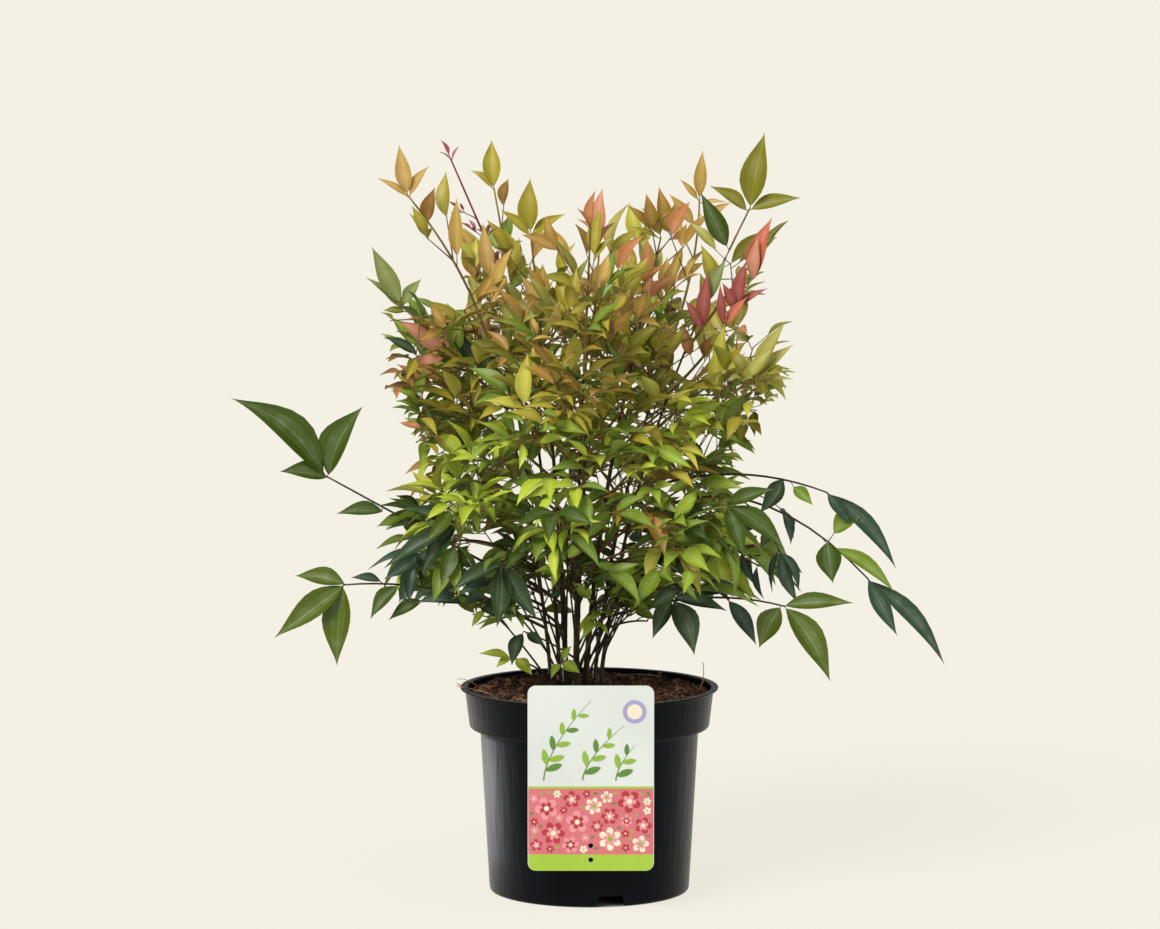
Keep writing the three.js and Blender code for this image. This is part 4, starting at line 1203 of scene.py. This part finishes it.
twigs()
cane_bark = material("cane_bark", "#1c170d", "#4f4226", 220, 0.75, bump=0.6, specular=0.2,
                     stretch=(1, 1, 0.22), bump_scale=900, bump_distance=0.0008)
_, cane_faces = skin([range(CANE_SIDES)] * (CANE_STEPS + 1))
bark = Heap()
for cane in canes:
    bark.add(cane_points(cane), cane_faces)
bark.piece("canes", [cane_bark], "bark", [cane["name"] for cane in canes])

# ---------------------------------------------------------------- the pot

POT_SIDES = 192
POT_PROFILE = [
    # radius, height
    (0, 0), (19.4, 0), (20, 0.6), (20, 9), (69.1, 9), (69.1, 0.6), (69.6, 0), (71.2, 0.05), (72.8, 0.7),
    (73.6, 1.7), (74, 3.2), (75.5, 30), (77.2, 60), (78.9, 90), (80.4, 117), (80.7, 120.6), (81.3, 121.6),
    (82.4, 122), (86.2, 122), (87.6, 122.4), (88.5, 123.4), (88.8, 124.8), (91.5, 147.4), (91.8, 148.8),
    (92.8, 149.8), (94.3, 150.3), (95.1, 150.9), (95.3, 151.5), (94.9, 152), (90.6, 152), (90, 151.5),
    (87.1, 125.7), (79.3, 122.3), (72.3, 10.7), (0, 10.7),
]
NOTCH = {"count": 3, "azimuth": 282, "top": 17.5, "foot": 22.5, "height": 8.5, "from": 64, "to": 80}

plastic = material("pot_plastic", "#06070b", "#0b0d13", 14, 0.3, bump=0.3, bump_scale=240, specular=0.08,
                   stretch=(1, 1, 0.1), bump_distance=0.0012)
plastic.node_tree.nodes["Principled BSDF"].inputs["Specular Tint"].default_value = (0.82, 0.88, 1, 1)
rings = [[Vector((*polar(radius, a), height)) for a in (turns(POT_SIDES) if radius else [0])]
         for radius, height in POT_PROFILE]
pot = Heap().add(*skin(rings)).piece("pot_shell", [plastic], "pot_plastic", ["pot"])
for k in range(NOTCH["count"]):
    half_top, half_foot = NOTCH["top"] / 2, NOTCH["foot"] / 2
    shape = [(-half_foot, -1), (half_foot, -1), (half_top, NOTCH["height"]), (-half_top, NOTCH["height"])]
    way = along(NOTCH["azimuth"] + 360 * k / NOTCH["count"])
    side = Vector((-way.y, way.x, 0))
    cut_away(pot, [[way * r + side * x + UP * z for x, z in shape] for r in (NOTCH["from"], NOTCH["to"])])
crease(pot, 32)

# ---------------------------------------------------------------- compost

TOP_RADIUS = 88.6
BED_RINGS, BED_SPOKES = 60, 200
BED_FLANK = [(86.3, 127.5), (84, 123.6), (78.5, 121.2), (77.8, 116), (71.5, 12)]
LUMPS = [(2.2, 0.045), (1.6, 0.16), (1.0, 0.45)]  # height, and how close they stand
CHIPS = 1500
CHIP_FACES = [(0, 1, 2, 3), (7, 6, 5, 4), (0, 4, 5, 1), (1, 5, 6, 2), (2, 6, 7, 3), (3, 7, 4, 0)]
FIBRES = [
    # ends and a middle, over the compost and across the rim
    ((-97, -26, 158), (-90, -20, 152), (-76, -12, 150)), ((-98, -8, 153), (-90, -12, 153), (-70, -24, 149)),
    ((-70, -38, 151), (-52, -46, 156), (-42, -58, 150)), ((84, 12, 168), (86, 8, 158), (82, 2, 150)),
    ((40, -50, 151), (54, -52, 154), (68, -44, 151)), ((20, 60, 151), (34, 52, 154), (52, 56, 151)),
    ((-30, 50, 151), (-48, 58, 155), (-60, 50, 150)), ((-84, 18, 150), (-92, 22, 155), (-98, 20, 154)),
]
FIBRE_STEPS = 14


def soil_height(x, y):
    p = Vector((x, y, 0))
    lumps = sum(height * noise.noise(p * close) for height, close in LUMPS)
    return SURFACE + 2.6 + lumps - 0.8 * max(0, (math.hypot(x, y) - 70) / 18)


def bed_ring(radius, height=None):
    places = [polar(radius, a) for a in turns(BED_SPOKES)]
    return [Vector((x, y, soil_height(x, y) if height is None else height)) for x, y in places]


def chip(k, rng):
    """One crumb of compost, or every fifth time a longer chip of bark."""
    radius, a = 86 * math.sqrt(rng.random()), 2 * math.pi * rng.random()
    x, y = polar(radius, a)
    long = rng.uniform(4, 11) if k % 5 == 0 else rng.uniform(1.2, 4.5)
    size = Vector((long, min(3, long * rng.uniform(0.25, 0.8)), min(2, long * rng.uniform(0.12, 0.45))))
    tilt = Quaternion(Vector(rng.normal(size=3)).normalized(), rng.uniform(0, 1.2))
    spin = tilt @ Quaternion(UP, rng.uniform(0, 6.28))
    centre = Vector((x, y, soil_height(x, y) + size.z * 0.4))
    block = []
    for z in (1, -1):
        for cx, cy in ((-1, -1), (1, -1), (1, 1), (-1, 1)):
            jag = Vector(rng.uniform(0.62, 1.1, 3))
            corner = Vector((cx * size.x * jag.x, cy * size.y * jag.y, z * size.z * jag.z))
            block.append(centre + spin @ corner / 2)
    return block


crumb = material("compost_crumb", "#25160f", "#68493a", 260, 0.95, bump=1.0, bump_scale=900,
                 specular=0.15, bump_distance=0.002)
bark_chip = material("compost_chip", "#42291c", "#94705a", 300, 0.9, bump=0.8, specular=0.15,
                     bump_distance=0.001)
fibre_pale = material("fibre_pale", "#8d7358", "#b39a78", 300, 0.8, specular=0.15)
bed = [bed_ring(max(0.02, TOP_RADIUS * i / BED_RINGS)) for i in range(BED_RINGS + 1)]
bed += [bed_ring(*flank) for flank in BED_FLANK]
Heap().add(*skin(bed, flip=True)).piece("compost_bed", [crumb], "compost", ["compost"])

crumbs = Heap()
rng = np.random.default_rng(11)
for k in range(CHIPS):
    block = chip(k, rng)
    if all(math.hypot(p.x, p.y) < 89.2 or p.z < 130 for p in block):
        crumbs.add(block, CHIP_FACES, int(rng.random() < 0.45))
crease(crumbs.piece("compost_chips", [crumb, bark_chip], "compost"), 20)

fibres = Heap()
for k, ends in enumerate(FIBRES):
    one, middle, other = (Vector(end) for end in ends)
    line = [bezier(one, middle, other, j / FIBRE_STEPS) for j in range(FIBRE_STEPS + 1)]
    fibres.add(*tube(line, [0.34 - 0.1 * k / len(FIBRES)] * len(line), 6), k % 2)
fibres.piece("compost_fibres", [bark_chip, fibre_pale], "compost")

# ---------------------------------------------------------------- label

WIDTH, HEIGHT, THICK, CORNER = 91, 135, 0.9, 6
HALF = WIDTH / 2
LABEL_X, LABEL_FOOT = 0.9, 32
HOLE, HOLES = 1.8, (8, 18.3)  # radius, and heights on the card
RIM_OUTSIDE, RIM_INSIDE, PLAY = 95.3, 91.6 - 1.7, 1.3
BACK = -(RIM_OUTSIDE + GAP)
FACE = BACK - THICK
HOOK = {"width": 20, "drop": 5, "top": POT_HEIGHT + GAP, "inside": -(RIM_INSIDE - GAP - PLAY)}
INK = 0.09  # thickness of a print
EDGE = 0.4  # from a band to the card's edge
BAND, GROUND_FOOT, GROUND_TOP, GROUND_BAND = 7, 12, 60, 61.6
PRINT_ROOM = 0.7  # from a print to the card's edges and holes
BLOSSOMS = ((17, 5), (12.5, 10), (9, 22), (6, 40), (3.6, 60))  # size and count
PETAL_TONES = ("red", "cream", "pink", "red", "pink", "cream", "red")
SPRIG_PRINTS = ((-34, 58, 34, 9), (-6, 40, 30, 6), (18, 26, 14, 4))  # x, rise, lean and leaves
SPRIG_FOOT, SPRIG_PARTS = 66, 16
INKS = {
    "ground": "#d9737c", "band": "#a5c93c", "sprig": "#8fb83a", "sprig_dark": "#5b8b33", "red": "#b8323c",
    "pink": "#ea9aa0", "cream": "#f4e9cf", "lilac": "#a9a3cf",
}
prints = {name: Heap() for name in INKS}


def rounded(width, height, radius, steps=10):
    shape = []
    x, z = width / 2 - radius, height - radius
    for cx, cy, start in ((x, radius, -90), (x, z, 0), (-x, z, 90), (-x, radius, 180)):
        shape += [polar(radius, math.radians(start + 90 * k / steps), cx, cy) for k in range(steps + 1)]
    return shape


def on_card(shape, y):
    return [Vector((LABEL_X + x, y, LABEL_FOOT + z)) for x, z in shape]


def plate(shape, front, thick):
    """A flat plate facing the front, from an outline in x and height on the card."""
    return skin([on_card(shape, front + thick), on_card(shape, front)])


def oval(x, z, long, broad, degrees, pointed=0.0, steps=14):
    """An ellipse, or a leaf where it is pointed."""
    a = math.radians(degrees)
    shape = []
    for t in turns(steps):
        u = math.cos(t) * long / 2
        v = math.sin(t) * abs(math.sin(t)) ** pointed * broad / 2
        shape.append((x + u * math.cos(a) - v * math.sin(a), z + u * math.sin(a) + v * math.cos(a)))
    return shape


def blossom(x, z, size, turn, petals=5):
    shape = []
    for a in turns(petals * 10):
        r = size / 2 * (0.45 + 0.55 * abs(math.cos(petals * a / 2)) ** 0.6)
        shape.append(polar(r, a + turn, x, z))
    return shape


def ribbon(line, width):
    """A strip along a line of x and height pairs, narrower to its end."""
    left, right = [], []
    for k, (x, z) in enumerate(line):
        ahead = heading([Vector(place) for place in line], k)
        off = Vector((-ahead.y, ahead.x)) * width / 2 * (1.1 - k / len(line))
        left.append((x + off.x, z + off.y))
        right.append((x - off.x, z - off.y))
    return right + left[::-1]


def ink(name, shape, layer=1):
    prints[name].add(*plate(shape, FACE - INK * layer, INK * layer * 0.98))


def box_shape(z0, z1):
    x = HALF - EDGE
    return [(-x, z0), (x, z0), (x, z1), (-x, z1)]


def clear_of_edges(x, z, reach):
    """Whether a print of this reach stays off the card's edges and holes, and inside the ground."""
    holes = min(math.hypot(x, z - height) for height in HOLES)
    inside = abs(x) + reach < HALF - EDGE - PRINT_ROOM and GROUND_FOOT + PRINT_ROOM < z - reach
    return inside and z + reach < GROUND_TOP - PRINT_ROOM and holes > reach + HOLE + PRINT_ROOM


def print_bands():
    outline = rounded(WIDTH - 2 * EDGE, HEIGHT - 2 * EDGE, CORNER)
    right_foot = [(x, z) for x, z in outline if z < BAND and x > 0]
    left_foot = [(x, z) for x, z in outline if z < BAND and x < 0]
    ink("band", right_foot + [(HALF - EDGE, GROUND_FOOT), (-HALF + EDGE, GROUND_FOOT)] + left_foot)
    ink("ground", box_shape(GROUND_FOOT, GROUND_TOP))
    ink("band", box_shape(GROUND_TOP, GROUND_BAND), 2)


def print_blossoms(rng):
    """Blossoms scattered over the ground, the largest first, with small leaves between them."""
    flowers = []
    for size, count in BLOSSOMS:
        for _ in range(count * 30):
            x, z = rng.uniform(-HALF, HALF), rng.uniform(GROUND_FOOT, GROUND_TOP)
            apart = all(math.hypot(x - a, z - b) > 0.5 * (size + other) for a, b, other in flowers)
            if count and apart and clear_of_edges(x, z, size / 2):
                flowers.append((x, z, size))
                count -= 1
    for k, (x, z, size) in enumerate(flowers):
        tone, turn = PETAL_TONES[k % len(PETAL_TONES)], rng.uniform(0, 6)
        if size < 4:
            ink("sprig" if k % 2 else "sprig_dark", oval(x, z, size, size * 0.5, math.degrees(turn), 0.5), 2)
            continue
        ink(tone, blossom(x, z, size, turn, 5 + k % 2), 2)
        if size > 8:
            ink("pink" if tone != "pink" else "red", blossom(x, z, size * 0.6, turn + 0.3, 5 + k % 2), 3)
        ink("cream" if tone != "cream" else "sprig", oval(x, z, size * 0.22, size * 0.22, 0), 4)


def print_sprig(foot, rise, lean, leaves):
    shares = [k / SPRIG_PARTS for k in range(SPRIG_PARTS + 1)]
    line = [(foot + lean * share**1.6, SPRIG_FOOT + rise * share) for share in shares]
    ink("sprig_dark", ribbon(line, 0.9), 2)
    for k in range(leaves):
        x, z = line[2 + int(13 * k / leaves)]
        angle = 62 - 22 * k / leaves + (42 if k % 2 else -42)
        long = 12.5 - 5 * k / leaves
        x, z = polar(long * 0.52, math.radians(angle), x, z)
        ink("sprig" if k % 3 else "sprig_dark", oval(x, z, long, long * 0.4, angle, 0.5), 3)


card = material("label_card", "#c2c7c4", "#cbd0cd", 12, 0.3, bump=0.05, specular=0.4)
outer, inner, drop = BACK - THICK / 2, HOOK["inside"], -HOOK["drop"]
hook = [(outer, 0), (inner, 0), (inner, drop), (inner + THICK, drop), (inner + THICK, THICK), (outer, THICK)]
flanks = (HOOK["width"] / 2, -HOOK["width"] / 2)
hook_sides = [[Vector((x, y, HOOK["top"] + z)) for y, z in hook] for x in flanks]
card_heap = Heap().add(*plate(rounded(WIDTH, HEIGHT, CORNER), FACE, THICK)).add(*skin(hook_sides))
label = card_heap.piece("label_plate", [card], "label_card", ["label"])

# A plain print of the maker's own: three sprigs and a disc above, blossoms below, and bands.
print_bands()
print_blossoms(np.random.default_rng(5))
for sprig in SPRIG_PRINTS:
    print_sprig(*sprig)
for name, size, steps, layer in (("lilac", 17, 36, 2), ("cream", 11, 30, 3)):
    ink(name, oval(HALF - 14, HEIGHT - 19, size, size, 0, steps=steps), layer)
for name, heap in prints.items():
    colour = mixed(rgba(INKS[name]), BLACK, 0.2)
    finish = material(f"ink_{name}", mixed(colour, BLACK, 0.06), colour, 60, 0.35, bump=0.05)
    crease(heap.piece(f"label_{name}", [finish], "label_card"), 30)
for height in HOLES:
    disc = oval(0, height, 2 * HOLE, 2 * HOLE, 0, steps=24)
    for name in ("plate", "ground", "band"):
        cut_away(bpy.data.objects[f"label_{name}"], [on_card(disc, BACK + 3), on_card(disc, BACK - 5)])
crease(label, 30)

# ---------------------------------------------------------------- stage

FLOOR_SIDES = 64
FLOOR_RADII = (0.071, 260)  # of the patch under the pot, and of the floor
TARGET = (0, 0, 0.25)


def floor_piece():
    """A pale floor that glows a little, with a plain patch under the pot."""
    pale = material("floor", "#5d5c57", "#5e5d58", 0.5, 1.0, bump=0, specular=0)
    glow = pale.node_tree.nodes["Principled BSDF"]
    glow.inputs["Emission Color"].default_value = rgba("#f3efe3")
    glow.inputs["Emission Strength"].default_value = 0.875
    under = material("floor_under", "#b5b3aa", "#b6b4ab", 0.5, 1.0, bump=0, specular=0)
    points = [(*polar(radius, a), 0) for radius in FLOOR_RADII for a in turns(FLOOR_SIDES)]
    faces = [tuple(range(FLOOR_SIDES))]
    for k in range(FLOOR_SIDES):
        after = (k + 1) % FLOOR_SIDES
        faces.append((k, FLOOR_SIDES + k, FLOOR_SIDES + after, after))
    mesh = bpy.data.meshes.new("floor")
    mesh.from_pydata(points, [], faces)
    mesh.materials.append(pale)
    mesh.materials.append(under)
    mesh.polygons[0].material_index = 1
    piece = bpy.data.objects.new("floor", mesh)
    SCENE.collection.objects.link(piece)
    return piece


def lamp(name, kind, energy, place, target, colour):
    data = bpy.data.lights.new(name, kind)
    data.energy = energy
    data.color = colour
    made = bpy.data.objects.new(name, data)
    SCENE.collection.objects.link(made)
    made.location = place
    made.rotation_euler = (Vector(target) - Vector(place)).to_track_quat("-Z", "Y").to_euler()
    return made


floor = floor_piece()

world = bpy.data.worlds.new("studio")
SCENE.world = world
world.use_nodes = True
world.node_tree.nodes["Background"].inputs["Color"].default_value = (1.0, 0.99, 0.97, 1)
world.node_tree.nodes["Background"].inputs["Strength"].default_value = 0.41

key = lamp("key", "SUN", 3.1, (-1.8, -2.8, 3.0), TARGET, (1, 0.98, 0.93))
key.data.angle = math.radians(26)
fill = lamp("fill", "SUN", 0.6, (2.6, -2.6, 1.6), TARGET, (1, 0.99, 0.97))
fill.data.angle = math.radians(50)
fill.visible_glossy = False
# Two narrow lamps behind that only draw a bright line down each flank of the pot.
for name, x, colour, energy in (("strip_left", -1.2, (0.95, 0.97, 1), 0.5),
                                ("strip_right", 1.2, (0.9, 0.92, 1), 0.05)):
    strip = lamp(name, "AREA", energy, (x, 0.9, 0.06), (0, 0, 0.06), colour)
    strip.data.shape = "RECTANGLE"
    strip.data.size = 0.1
    strip.data.size_y = 0.1
    strip.data.spread = math.radians(9)
    strip.visible_diffuse = False
    strip.visible_camera = False

# The photograph's view: its width in pixels, the lens in those pixels, and the tilt down.
PHOTO_WIDTH, PHOTO_FOCUS, TILT = 1160, 4926, 6.14
camera_data = bpy.data.cameras.new("camera")
camera = bpy.data.objects.new("camera", camera_data)
SCENE.collection.objects.link(camera)
camera_data.sensor_width = 36
camera_data.lens = camera_data.sensor_width * PHOTO_FOCUS / PHOTO_WIDTH
camera.location = VIEW * MM
camera.rotation_euler = (math.radians(90 - TILT), 0, 0)
SCENE.camera = camera
SCENE.view_settings.view_transform = "Standard"

bpy.context.view_layer.update()
